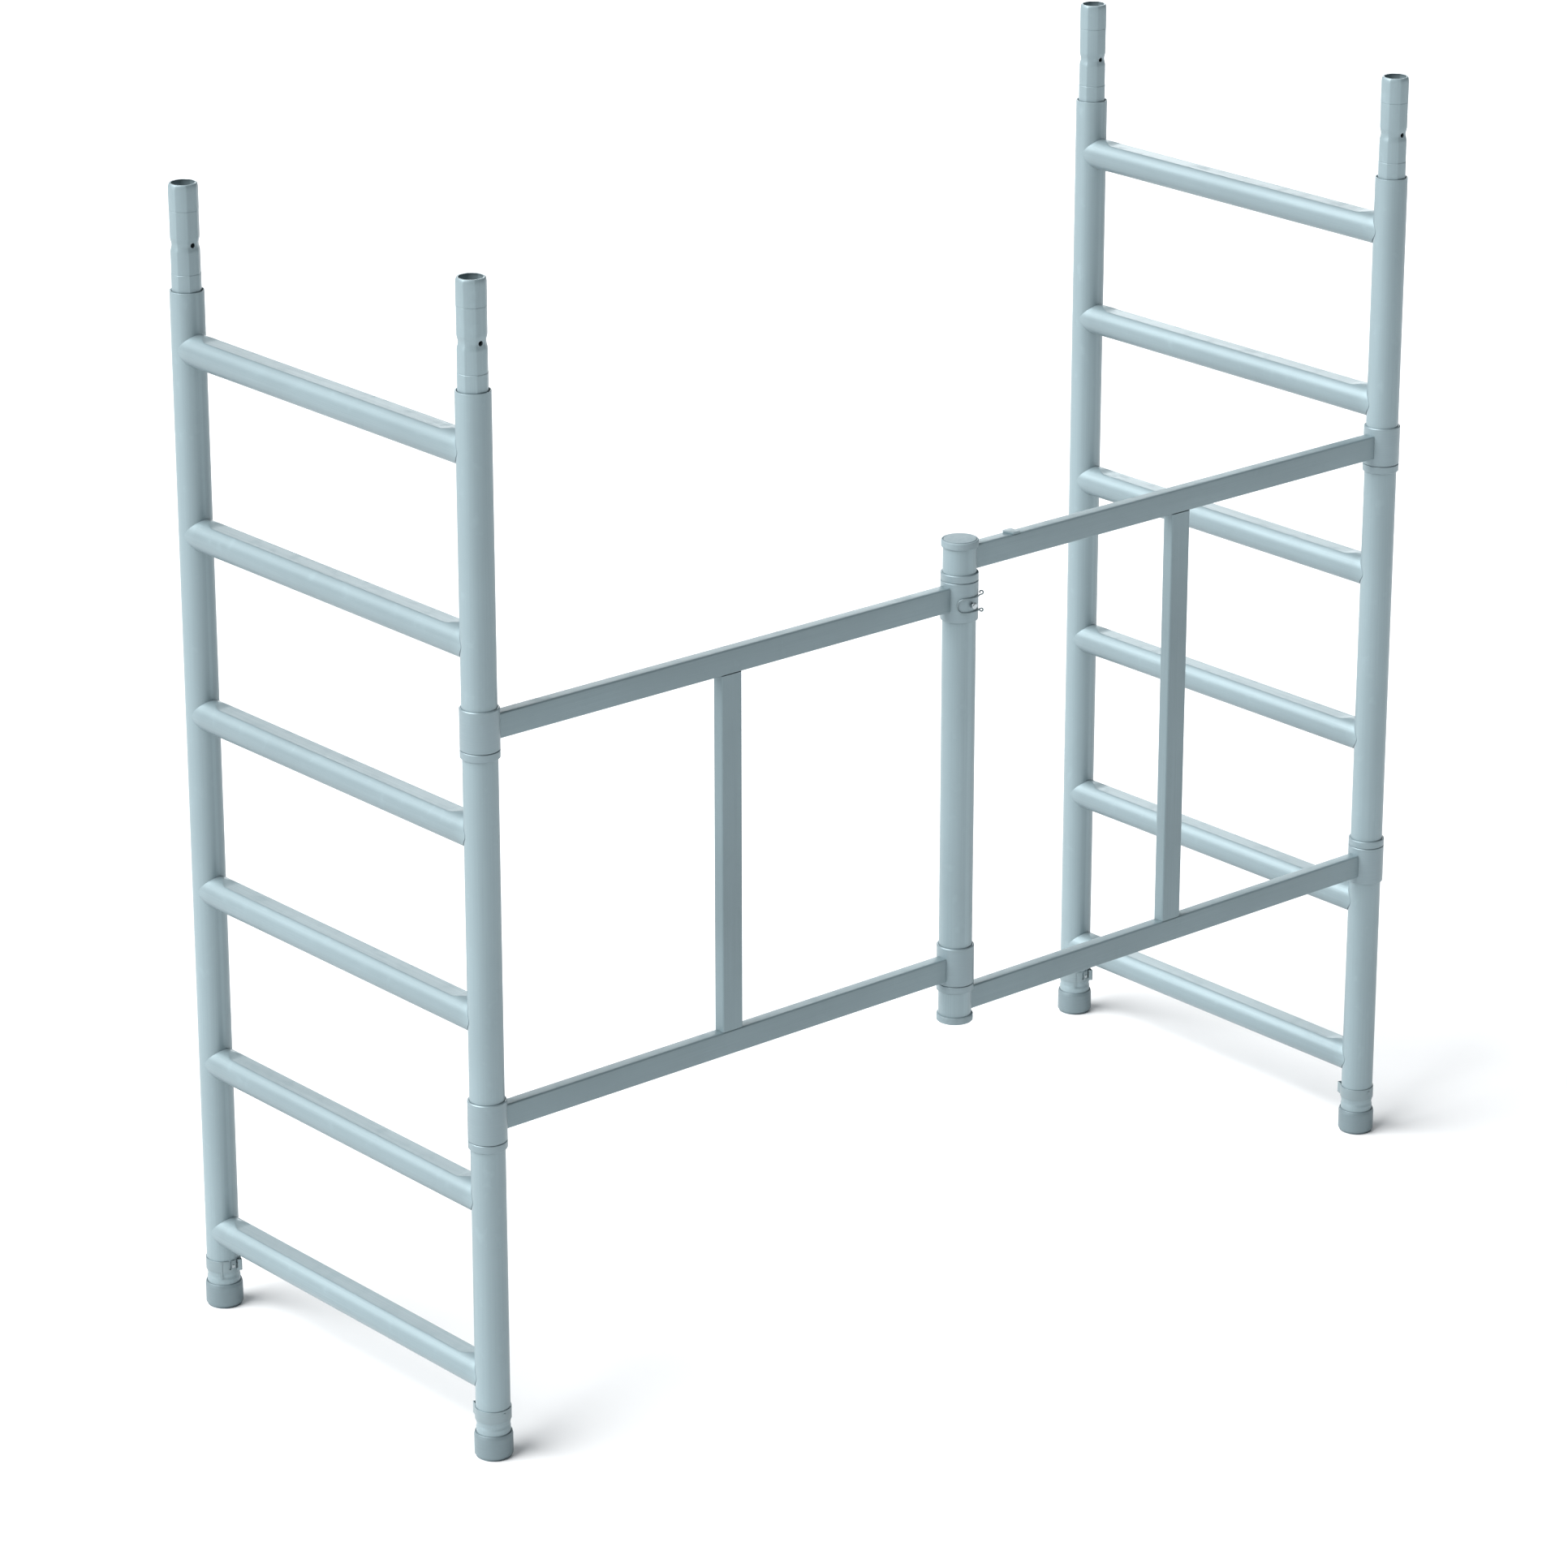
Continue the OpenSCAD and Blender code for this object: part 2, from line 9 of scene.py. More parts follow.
import bmesh
import bpy
import numpy as np
from bpy.props import FloatProperty, FloatVectorProperty, IntProperty, PointerProperty
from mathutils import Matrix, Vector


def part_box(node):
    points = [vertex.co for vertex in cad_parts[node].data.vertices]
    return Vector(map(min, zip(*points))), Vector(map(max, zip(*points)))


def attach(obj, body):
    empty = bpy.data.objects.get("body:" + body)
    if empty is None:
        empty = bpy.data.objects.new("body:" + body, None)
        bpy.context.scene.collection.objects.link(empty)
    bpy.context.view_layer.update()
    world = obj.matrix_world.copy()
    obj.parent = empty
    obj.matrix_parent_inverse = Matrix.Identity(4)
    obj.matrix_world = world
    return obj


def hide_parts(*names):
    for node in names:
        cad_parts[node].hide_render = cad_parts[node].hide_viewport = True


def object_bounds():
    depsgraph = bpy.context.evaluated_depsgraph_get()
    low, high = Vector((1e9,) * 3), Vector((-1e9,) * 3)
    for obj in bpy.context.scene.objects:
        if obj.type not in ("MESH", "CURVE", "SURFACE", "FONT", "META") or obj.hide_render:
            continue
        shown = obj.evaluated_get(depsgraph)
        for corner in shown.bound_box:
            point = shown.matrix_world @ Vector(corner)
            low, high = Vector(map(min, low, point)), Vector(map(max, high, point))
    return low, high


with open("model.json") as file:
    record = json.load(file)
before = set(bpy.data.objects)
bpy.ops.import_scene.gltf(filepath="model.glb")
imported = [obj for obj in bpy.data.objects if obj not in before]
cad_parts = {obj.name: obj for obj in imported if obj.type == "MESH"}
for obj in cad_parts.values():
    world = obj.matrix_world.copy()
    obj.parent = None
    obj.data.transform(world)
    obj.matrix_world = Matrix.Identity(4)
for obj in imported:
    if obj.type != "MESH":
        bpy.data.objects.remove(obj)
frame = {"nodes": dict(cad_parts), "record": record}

bl_info = {
    "name": "Folding scaffold base frame",
    "version": (1, 0, 0),
    "blender": (4, 5, 0),
    "location": "View3D > Sidebar > Scaffold",
    "description": "Builds the tubes, rungs, hinges and locks of a folding scaffold base frame",
    "category": "Add Mesh",
}

CAD_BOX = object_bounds()
RECORD = frame["record"]
BODY_OF = {node: body for body, nodes in RECORD["behaviour"]["bodies"].items() for node in nodes}
SIDES = ("left", "right")
ENDS = ("front", "rear")
LEVELS = ("lower", "upper")
CORNERS = [(side, end) for side in SIDES for end in ENDS]
TURN = 2 * math.pi
# Axis of the cross holes, and how far from the post's axis the fold lock's holes start and end.
ACROSS = (0, 1, 0)
LOCK_REACH = (-0.04, -0.01)


# ---- sizes and colours that a user would change ----

def length(name, description, default):
    """A length property in metres."""
    return FloatProperty(
        name=name, description=description, default=default, unit="LENGTH", precision=5)


def colour(name, description, default):
    """A colour property."""
    return FloatVectorProperty(
        name=name, description=description, default=default, subtype="COLOR", size=3, min=0, max=1)


class TubeSizes(bpy.types.PropertyGroup):
    """Sizes of the round tubes."""
    wall: length("Wall", "Wall of the uprights and of the post", 0.0022)
    edge: length("Edge", "Radius on the cut ends of a tube", 0.0005)
    neck_depth: length("Neck depth", "Depth of the crimped neck above the foot", 0.0009)
    neck_height: length("Neck height", "Height of the neck's middle above the ground", 0.051)
    neck_half: length("Neck half", "Half the height of the neck", 0.005)
    pin_height: length("Pin height", "Height of the lock pin above the ground", 0.069)
    pin_hole: length("Pin hole", "Radius of the lock pin's hole", 0.0033)
    segments: IntProperty(name="Segments", description="Faces round a tube", default=96, min=24)


class SpigotSizes(bpy.types.PropertyGroup):
    """Sizes of the spigots."""
    radius: length("Radius", "Radius over the guiding bands", 0.0223)
    relief: length("Relief", "Depth of the shaft below the bands", 0.0003)
    wall: length("Wall", "Wall of the tube", 0.0024)
    low_band: length("Low band", "Height of the lower band above the shoulder", 0.025)
    top_band: length("Top band", "Height of the upper band below the tip", 0.039)
    neck_depth: length("Neck depth", "Depth of the neck at the hole", 0.0019)
    neck_height: length("Neck height", "Height of the hole above the shoulder", 0.069)
    hole: length("Hole", "Radius of the cross hole", 0.0038)
    tip: length("Tip", "Radius taken off at the rim", 0.0026)
    flats: FloatProperty(
        name="Flats", description="How far the round shaft goes towards eight flats", default=0.5,
        min=0, max=1, subtype="FACTOR")


class RungSizes(bpy.types.PropertyGroup):
    """Sizes of the rungs."""
    drop: length("Tread drop", "Depth of the tread below the top of the round bar", 0.0035)
    margin: length("Margin", "Round length at each end", 0.036)
    runout: length("Runout", "Length over which the tread sinks in", 0.026)
    wall: length("Wall", "Wall of the bar", 0.002)
    bore: length("Bore", "Depth of the open bore at each end", 0.02)
    slit: length("Slit", "How much the seam opens towards the underside", 0.0009)
    seam: length("Seam", "Open line between a bar and the tube it is welded to", 0.0003)


class GateSizes(bpy.types.PropertyGroup):
    """Sizes of the gate, its hinges and its lock."""
    corner: length("Corner", "Corner radius of the rails and stiles", 0.0028)
    clearance: length("Clearance", "Running clearance of the collars", 0.0001)
    chamfer: length("Chamfer", "Edge chamfer of the collars", 0.0012)
    soften: length("Soften", "Radius on every turned corner", 0.0004)
    fold_hole: length("Fold hole", "Radius of the hole of the fold lock", 0.0038)
    wire: length("Wire", "Radius of the lock's spring wire", 0.0011)
    wire_half: length("Wire half", "Half the distance between the wire's legs", 0.011)
    wire_gap: length("Wire gap", "Gap between the legs and the collar", 0.0008)
    wire_eye_gap: length("Eye gap", "Gap between the curled eyes and the collar", 0.0032)


class ClipSizes(bpy.types.PropertyGroup):
    """Sizes of the spring clips."""
    thickness: length("Thickness", "Thickness of the strip", 0.0015)
    height: length("Height", "Height of the strip", 0.019)
    ear: length("Ear", "How far the finger ear stands off the tube", 0.0080)


class FinishColours(bpy.types.PropertyGroup):
    """Colours of the metals."""
    tube: colour("Tubes", "Extruded tubes and spigots", (0.244, 0.317, 0.343))
    tread: colour("Rungs", "Extruded rungs", (0.212, 0.277, 0.300))
    turned: colour("Turned parts", "Collars, rings, feet and caps", (0.22, 0.285, 0.31))
    # The feet are tinted about a quarter darker than the other turned parts: painted shade, standing in
    # for the shade on the lower ends.
    foot: colour("Feet", "Ferrules on the lower ends", (0.165, 0.218, 0.238))
    rail: colour("Rails", "Rails and stiles", (0.190, 0.252, 0.274))
    spring: colour("Springs", "Spring strip and wire", (0.22, 0.28, 0.30))
    pin: colour("Pins", "Turned steel pins", (0.42, 0.47, 0.49))


# ---- meshes ----

def add_object(name, points, faces):
    """Mesh object from points and faces, turned outwards by the sign of its volume."""
    points = np.asarray(points, float)
    fan = np.array([(f[0], f[i], f[i + 1]) for f in faces for i in range(1, len(f) - 1)])
    a, b, c = points[fan[:, 0]], points[fan[:, 1]], points[fan[:, 2]]
    if np.einsum("ij,ij->", a, np.cross(b, c)) < 0:
        faces = [face[::-1] for face in faces]
    mesh = bpy.data.meshes.new(name)
    mesh.from_pydata(points.tolist(), [], faces)
    mesh.validate()
    smooth(mesh)
    piece = bpy.data.objects.new(name, mesh)
    bpy.context.scene.collection.objects.link(piece)
    return piece


def smooth(mesh, limit=38):
    """Shades a mesh smooth, and keeps edges over limit degrees sharp."""
    mesh.polygons.foreach_set("use_smooth", np.ones(len(mesh.polygons), bool))
    mesh.set_sharp_from_angle(angle=math.radians(limit))
    mesh.update()


def skin(rows, looped):
    """Points and faces of a grid rows[v, u] that is closed round u.

    A looped grid joins its last row to its first, and any other is closed by a fan at each end.
    """
    count, around = rows.shape[:2]
    points = rows.reshape(-1, 3)
    v, u = np.meshgrid(np.arange(count if looped else count - 1), np.arange(around), indexing="ij")
    up, side = (v + 1) % count, (u + 1) % around
    quads = np.stack([v * around + u, v * around + side, up * around + side, up * around + u], -1)
    faces = quads.reshape(-1, 4).tolist()
    if looped:
        return points, faces
    points = np.vstack([points, rows[0].mean(0), rows[-1].mean(0)])
    first, last = count * around, count * around + 1
    ring = np.arange(around)
    after = (ring + 1) % around
    faces += np.stack([np.full(around, first), after, ring], -1).tolist()
    base = (count - 1) * around
    faces += np.stack([np.full(around, last), base + ring, base + after], -1).tolist()
    return points, faces


def joined(parts):
    """Points and faces of several closed skins as one."""
    points, faces, start = [], [], 0
    for some_points, some_faces in parts:
        points.append(some_points)
        faces += [[index + start for index in face] for face in some_faces]
        start += len(some_points)
    return np.vstack(points), faces


def rounded(corners, steps=5):
    """Outline through corners (a, b, radius), where a radius turns the corner into an arc.

    The arc touches both sides, at start and end from its centre. With w the angle between these, its
    points are centre + (sin((1 - t) w) * start + sin(t w) * end) / sin(w). Corners that are almost
    straight stay as they are, and an open path has radius 0 at its first and last corner.
    """
    straight = math.pi / 2 - 0.01
    outline = []
    total = len(corners)
    for i, (a, b, radius) in enumerate(corners):
        here = np.array([a, b])
        before = np.array(corners[i - 1][:2]) - here
        after = np.array(corners[(i + 1) % total][:2]) - here
        if radius <= 0:
            outline.append(here)
            continue
        before, after = before / np.linalg.norm(before), after / np.linalg.norm(after)
        half = math.acos(np.clip(before @ after, -1, 1)) / 2
        if half > straight:
            outline.append(here)
            continue
        middle = (before + after) / np.linalg.norm(before + after)
        centre = here + middle * radius / math.sin(half)
        start = here + before * radius / math.tan(half) - centre
        end = here + after * radius / math.tan(half) - centre
        angle = math.acos(np.clip(start @ end / radius ** 2, -1, 1))
        t = np.linspace(0, 1, steps)[:, None]
        arc = (np.sin((1 - t) * angle) * start + np.sin(t * angle) * end) / math.sin(angle)
        outline.extend(centre + arc)
    return np.array(outline)


def revolved(outline, segments, looped=True):
    """Points and faces of an outline (radius, height) turned about Z."""
    t = np.arange(segments) / segments * TURN
    radius, height = outline[:, :1], outline[:, 1:]
    return skin(np.stack([radius * np.cos(t), radius * np.sin(t), height + 0 * t], -1), looped)


def cut_away(piece, points, faces):
    """Takes a closed skin out of a piece, and clears away the doubles and slivers the cut leaves."""
    merged, sliver = 4e-6, 2e-6
    cutter = add_object(piece.name + "_cutter", points, faces)
    cut = piece.modifiers.new("cut", "BOOLEAN")
    cut.operation, cut.solver, cut.object = "DIFFERENCE", "EXACT", cutter
    graph = bpy.context.evaluated_depsgraph_get()
    whole = piece.data
    piece.data = bpy.data.meshes.new_from_object(piece.evaluated_get(graph))
    piece.modifiers.clear()
    piece.data.name = piece.name
    used = cutter.data
    bpy.data.objects.remove(cutter)
    bpy.data.meshes.remove(used)
    bpy.data.meshes.remove(whole)
    tidy = bmesh.new()
    tidy.from_mesh(piece.data)
    bmesh.ops.remove_doubles(tidy, verts=tidy.verts, dist=merged)
    bmesh.ops.dissolve_degenerate(tidy, edges=tidy.edges, dist=sliver)
    bmesh.ops.triangulate(tidy, faces=[face for face in tidy.faces if len(face.verts) > 4])
    tidy.to_mesh(piece.data)
    tidy.free()
    smooth(piece.data)


def drilled(piece, centre, radius, axis, reach, segments=48):
    """Cuts a round hole into a piece, between two distances from centre along a level axis."""
    t = np.arange(segments) / segments * TURN
    across, up = (axis[1], -axis[0], 0), (0, 0, 1)
    ring = radius * (np.cos(t)[:, None] * np.array(across) + np.sin(t)[:, None] * np.array(up))
    rows = np.stack([np.array(centre) + step * np.array(axis) + ring for step in reach])
    cut_away(piece, *skin(rows, False))


def stand(name, part, middle):
    """Mesh object from points and faces about the Z axis, moved to middle in plan."""
    points, faces = part
    return add_object(name, points + [middle[0], middle[1], 0], faces)


def middle_of(node):
    """Middle of a node's box, its lowest point and its highest point."""
    low, high = (np.array(corner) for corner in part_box(node))
    return (low + high) / 2, low, high


def radius_of(low, high):
    """Radius of an upright round part from the corners of its box."""
    return (high[0] - low[0]) / 2


def settle(piece, node, material):
    """Gives a piece its material, and lets it stand for a node and ride on that node's body."""
    piece.data.materials.clear()
    piece.data.materials.append(material)
    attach(piece, BODY_OF[node])
    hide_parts(node)


def inwards(end):
    """Direction from an upright to the other upright of its ladder."""
    return 1 if end == "front" else -1


# ---- finishes ----

# How tightly noise is packed along X, Y and Z: low along drawn lines.
ALONG_X = (5, 1300, 1300)
ALONG_Y = (1300, 5, 1300)
ALONG_Z = (1300, 1300, 5)
ROUND_Z = (14, 14, 2200)
CLOUDY = (160, 160, 160)
CLOUDS = (4, 4, 4)
SCUFFS = (55, 55, 38)
FINE = (900, 900, 900)
# Tones as shares of the tint.
DULL, PALE, LINE, SCUFF, EDGE = 0.94, 1.05, 0.90, 1.16, 1.25
# Changes of roughness, and the bump.
LINE_ROUGHNESS, SCUFF_ROUGHNESS = 0.05, 0.10
BUMP_STRENGTH, BUMP_DEPTH, FINE_BUMP = 0.12, 0.0003, 0.4


def metal(name, tint, grain, roughness=0.42, metallic=0.35, worn=0.4):
    """Satin metal with fine lines along grain, cloudy tone, scuffs and edges that are worn bright."""
    if name in bpy.data.materials:
        return bpy.data.materials[name]
    material = bpy.data.materials.new(name)
    material.use_nodes = True
    nodes, links = material.node_tree.nodes, material.node_tree.links
    shader = nodes["Principled BSDF"]
    shader.inputs["Metallic"].default_value = metallic
    shader.inputs["IOR"].default_value = 1.5
    place = nodes.new("ShaderNodeTexCoord").outputs["Object"]

    def noise(scale, detail):
        stretch = nodes.new("ShaderNodeMapping")
        stretch.inputs["Scale"].default_value = scale
        links.new(place, stretch.inputs["Vector"])
        texture = nodes.new("ShaderNodeTexNoise")
        texture.inputs["Scale"].default_value = 1
        texture.inputs["Detail"].default_value = detail
        links.new(stretch.outputs["Vector"], texture.inputs["Vector"])
        return texture.outputs["Fac"]

    def ranged(source, low, high, to_low, to_high):
        change = nodes.new("ShaderNodeMapRange")
        sockets = ("From Min", "From Max", "To Min", "To Max")
        for socket, value in zip(sockets, (low, high, to_low, to_high)):
            change.inputs[socket].default_value = value
        links.new(source, change.inputs["Value"])
        return change.outputs["Result"]

    def mixed(amount, first, second):
        mix = nodes.new("ShaderNodeMix")
        mix.data_type = "RGBA"
        share, one, other, result = mix.inputs[0], mix.inputs[6], mix.inputs[7], mix.outputs[2]
        links.new(amount, share)
        for socket, value in ((one, first), (other, second)):
            if isinstance(value, tuple):
                socket.default_value = value
            else:
                links.new(value, socket)
        return result

    def summed(first, second):
        add = nodes.new("ShaderNodeMath")
        links.new(first, add.inputs[0])
        links.new(second, add.inputs[1])
        return add.outputs[0]

    def shade(factor):
        return tuple(min(1, channel * factor) for channel in tint) + (1,)

    lines = noise(grain, 3)
    clouds = noise(CLOUDS, 4)
    scuffs = noise(SCUFFS, 8)
    fine = noise(FINE, 2)
    tone = mixed(ranged(clouds, 0.3, 0.7, 0, 1), shade(DULL), shade(PALE))
    tone = mixed(ranged(lines, 0.35, 0.65, 0, 0.45), tone, shade(LINE))
    tone = mixed(ranged(scuffs, 0.60, 0.72, 0, 0.35), tone, shade(SCUFF))
    edges = nodes.new("ShaderNodeNewGeometry").outputs["Pointiness"]
    tone = mixed(ranged(edges, 0.52, 0.60, 0, worn), tone, shade(EDGE))
    links.new(tone, shader.inputs["Base Color"])
    rough = summed(
        ranged(lines, 0.3, 0.7, roughness - LINE_ROUGHNESS, roughness + LINE_ROUGHNESS),
        ranged(scuffs, 0.55, 0.72, 0, SCUFF_ROUGHNESS))
    links.new(rough, shader.inputs["Roughness"])
    bump = nodes.new("ShaderNodeBump")
    bump.inputs["Strength"].default_value = BUMP_STRENGTH
    bump.inputs["Distance"].default_value = BUMP_DEPTH
    links.new(summed(lines, ranged(fine, 0, 1, 0, FINE_BUMP)), bump.inputs["Height"])
    links.new(bump.outputs["Normal"], shader.inputs["Normal"])
    return material


def finishes():
    """Every metal of the frame by the sort of piece that has it."""
    tints = bpy.context.scene.scaffold_finish
    return {
        "tube": metal("drawn_tube", tints.tube, ALONG_Z),
        "rung": metal("drawn_rung", tints.tread, ALONG_Y),
        "turned": metal("turned_alloy", tints.turned, ROUND_Z, 0.38),
        "rail": metal("drawn_rail", tints.rail, ALONG_X, 0.46),
        "stile": metal("drawn_stile", tints.rail, ALONG_Z, 0.46),
        # The feet get their own darker tint: painted shade on the lower ends.
        "foot": metal("turned_foot_painted_shade", tints.foot, ROUND_Z, 0.44),
        "cap": metal("pressed_cap", tints.turned, CLOUDY, 0.62, 0.1, 0.15),
        "spring": metal("bent_spring", tints.spring, ROUND_Z, 0.40, 0.45, 0),
        "pin": metal("turned_pin", tints.pin, ROUND_Z, 0.25, 0.9, 0),
    }


# ---- pieces ----

def tube_outline(radius, low, high, size, neck=None):
    """Section of a tube with rounded rims.

    A neck, given by the height of its middle, pulls both walls in by depth * (1 + cos a) / 2, with a
    from -180 to 180 degrees over its height.
    """
    steps = 17
    bore, edge = radius - size.wall, size.edge
    height = np.array([low + edge, high - edge])
    if neck is not None:
        dent = neck + size.neck_half * np.linspace(-1, 1, steps)
        height = np.concatenate([height[:1], dent, height[1:]])
    inward = np.zeros_like(height)
    if neck is not None:
        inward[1:-1] = size.neck_depth * (1 + np.cos(np.linspace(-np.pi, np.pi, steps))) / 2
    outer = np.stack([radius - inward, height], -1)
    inner = np.stack([bore - inward, height], -1)[::-1]
    t = np.linspace(0, math.pi / 2, 5)[1:]
    top_out = np.stack([radius - edge + edge * np.cos(t), high - edge + edge * np.sin(t)], -1)
    top_in = np.stack([bore + edge - edge * np.sin(t), high - edge + edge * np.cos(t)], -1)
    low_in = np.stack([bore + edge - edge * np.cos(t), low + edge - edge * np.sin(t)], -1)
    low_out = np.stack([radius - edge + edge * np.sin(t), low + edge - edge * np.cos(t)], -1)
    return np.vstack([outer, top_out, top_in, inner[1:], low_in, low_out])


class SCAFFOLD_OT_uprights(bpy.types.Operator):
    """Add the four uprights, with the crimped neck above the foot and the hole of the lock pin"""
    bl_idname = "scaffold.uprights"
    bl_label = "Uprights"

    def execute(self, context):
        size = context.scene.scaffold_tubes
        metals = finishes()
        within, beyond = 0.015, 0.03
        for side, end in CORNERS:
            node = f"{side}_upright_{end}"
            middle, low, high = middle_of(node)
            outline = tube_outline(radius_of(low, high), low[2], high[2], size, size.neck_height)
            piece = stand(f"upright_{side}_{end}", revolved(outline, size.segments), middle)
            at = (middle[0], middle[1], size.pin_height)
            reach = (within, beyond) if inwards(end) > 0 else (-beyond, -within)
            drilled(piece, at, size.pin_hole, ACROSS, reach)
            settle(piece, node, metals["tube"])
        return {"FINISHED"}


def spigot_rows(size, shoulder, top, segments=192):
    """Grid of a spigot: its section from inside the upright up to the tip, then the bore back down.

    Each radius is pulled by flats towards an octagon with its corners on the circle, whose radius is
    cos(22.5) / cos(a) of the circle's, with a the angle from the middle of a flat.
    """
    held, above, dent_half, tip_run = 0.03, 0.001, 0.0115, 0.009
    step, score = 0.0003, 0.0003
    rim_share, rim_drop = 0.6, 0.0002
    eighth = math.pi / 4
    hole = shoulder + size.neck_height
    shaft = size.radius - size.relief
    low, high = shoulder + size.low_band, top - size.top_band
    dent = np.linspace(-1, 1, 25)
    tip = np.linspace(0, 1, 9)
    tip_height = top - tip_run + tip_run * np.sin(tip * math.pi / 2)
    tip_radius = size.radius - size.tip * (1 - np.cos(tip * math.pi / 2))
    outer = np.vstack([
        [(size.radius, shoulder - held), (size.radius, shoulder + above), (size.radius, low - step)],
        [(shaft - score, low + step), (shaft - score, low + 3 * step), (shaft, low + 4 * step)],
        np.stack([
            shaft - size.neck_depth * (1 + np.cos(dent * math.pi)) / 2, hole + dent_half * dent], -1),
        [(shaft, high - 4 * step), (shaft - score, high - 3 * step), (shaft - score, high - step)],
        [(size.radius, high), (size.radius, top - tip_run - step)],
        np.stack([tip_radius, tip_height], -1)])
    inner = outer[::-1] - [size.wall, 0]
    inner[0] = outer[-1, 0] - size.wall * rim_share, top - rim_drop
    outline = np.vstack([outer, inner])
    t = np.arange(segments) / segments * TURN
    from_flat = (t + eighth / 2) % eighth - eighth / 2
    octagon = math.cos(eighth / 2) / np.cos(from_flat)
    radius = outline[:, :1] * (1 - size.flats * (1 - octagon))
    return np.stack([radius * np.cos(t), radius * np.sin(t), outline[:, 1:] + 0 * t], -1)


class SCAFFOLD_OT_spigots(bpy.types.Operator):
    """Add the four spigots, with eight soft flats, guiding bands, a neck and its cross hole"""
    bl_idname = "scaffold.spigots"
    bl_label = "Spigots"

    def execute(self, context):
        size = context.scene.scaffold_spigots
        metals = finishes()
        through = 0.03
        for side, end in CORNERS:
            node = f"{side}_spigot_{end}"
            middle, _, high = middle_of(node)
            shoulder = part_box(f"{side}_upright_{end}")[1][2]
            part = skin(spigot_rows(size, shoulder, high[2]), True)
            piece = stand(f"spigot_{side}_{end}", part, middle)
            at = (middle[0], middle[1], shoulder + size.neck_height)
            drilled(piece, at, size.hole, ACROSS, (-through, through))
            settle(piece, node, metals["tube"])
        return {"FINISHED"}


def rung_rows(radius, tube_radius, near, far, height, x, size):
    """Grid of a rung between two tubes, with its tread sunk in by a smooth step.

    Round the bar, a point is radius * (sin u, cos u). The tread is the chord between -c and c, where
    cos c = tread height / radius, and each row keeps its points on that chord and its arc in step.
    Where the bar is round, c is least.
    The end rows follow the tubes: y = sqrt(offset^2 - x^2), with offset the tube's radius and the seam.
    Below slit_level, a share of the bar's radius, the seam opens into the slit.
    Inside the end rows the bar is open to a short bore, so that its wall shows at the seam.
    """
    lip, plain, inner = 0.004, (0.09, 0.15), 0.2
    least = math.radians(1.5)
    chord_edge, chord_plain = 0.97, 0.8
    slit_level = 0.15
    span = far - near
    ramp = np.linspace(size.margin, size.margin + size.runout, 14)
    start = np.concatenate([[tube_radius, tube_radius + lip], ramp, plain])
    along = np.concatenate([start, np.linspace(inner, span - inner, 5), span - start[::-1]])
    ease = np.clip((np.minimum(along, span - along) - size.margin) / size.runout, 0, 1)
    ease = ease * ease * (3 - 2 * ease)
    tread = np.minimum(radius - size.drop * ease, radius * math.cos(least))
    c = np.arccos(tread / radius)[:, None]
    flat = np.concatenate([
        [-1, -chord_edge], np.linspace(-chord_plain, chord_plain, 7), [chord_edge]])
    around = np.linspace(0, 1, 73)[:-1]
    chord_x = radius * np.sin(c) * flat
    chord_z = tread[:, None] + 0 * flat
    arc = c + (TURN - 2 * c) * around
    across = np.hstack([chord_x, radius * np.sin(arc)])
    up = np.hstack([chord_z, radius * np.cos(arc)])
    y = near + along[:, None] + 0 * across
    below = np.clip(slit_level - up[[0, -1]] / radius, 0, 1)
    offset = tube_radius + size.seam + size.slit * below
    cope = np.sqrt(offset ** 2 - across[[0, -1]] ** 2)
    y[0], y[-1] = near + cope[0], far - cope[1]
    rows = np.stack([across, y, up], -1)
    bored = 1 - size.wall / radius
    mouths = rows[[0, -1]] * np.array([bored, 1, bored])
    ends = mouths + np.array([0, size.bore, 0]) * np.array([1, -1])[:, None, None]
    rows = np.concatenate([ends[:1], mouths[:1], rows, mouths[1:], ends[1:]])
    return rows + [x, 0, height]


class SCAFFOLD_OT_rungs(bpy.types.Operator):
    """Add the twelve rungs, with flat treads that run out before their coped ends"""
    bl_idname = "scaffold.rungs"
    bl_label = "Rungs"

    def execute(self, context):
        size = context.scene.scaffold_rungs
        metals = finishes()
        for side in SIDES:
            near = middle_of(f"{side}_upright_front")[0]
            far, low, high = middle_of(f"{side}_upright_rear")
            tube_radius = radius_of(low, high)
            rungs = [name for name in frame["nodes"] if name.startswith(f"{side}_rung_")]
            for node in sorted(rungs):
                middle, low, high = middle_of(node)
                radius = radius_of(low, high)
                height = low[2] + radius
                rows = rung_rows(radius, tube_radius, near[1], far[1], height, middle[0], size)
                piece = add_object(node.replace("rung", "step"), *skin(rows, False))
                settle(piece, node, metals["rung"])
        return {"FINISHED"}


def ring_outline(bore, radius, low, high, chamfer, soften):
    """Section of a turned ring: countersunk bore, chamfered and softened outer edges."""
    sink = 0.0009
    return rounded([
        (bore, low + sink, 0),
        (bore + sink, low, soften / 2),
        (radius - chamfer, low, soften),
        (radius, low + chamfer, soften),
        (radius, high - chamfer, soften),
        (radius - chamfer, high, soften),
        (bore + sink, high, soften / 2),
        (bore, high - sink, 0)])


def foot_outline(bore, radius, low, high, soften):
    """Section of a foot: chamfered ground edge and a long chamfer up to the tube."""
    ground, shoulder = 0.0042, 0.0055
    rim, rim_drop = 0.0012, 0.0007
    sink, sink_drop = 0.0009, 0.0012
    return rounded([
        (bore, low, soften),
        (radius - ground, low, soften * 2),
        (radius, low + ground, soften * 3),
        (radius, high - shoulder, soften),
        (radius - rim, high - rim_drop, soften),
        (bore + sink, high, soften / 2),
        (bore, high - sink_drop, soften / 2)])


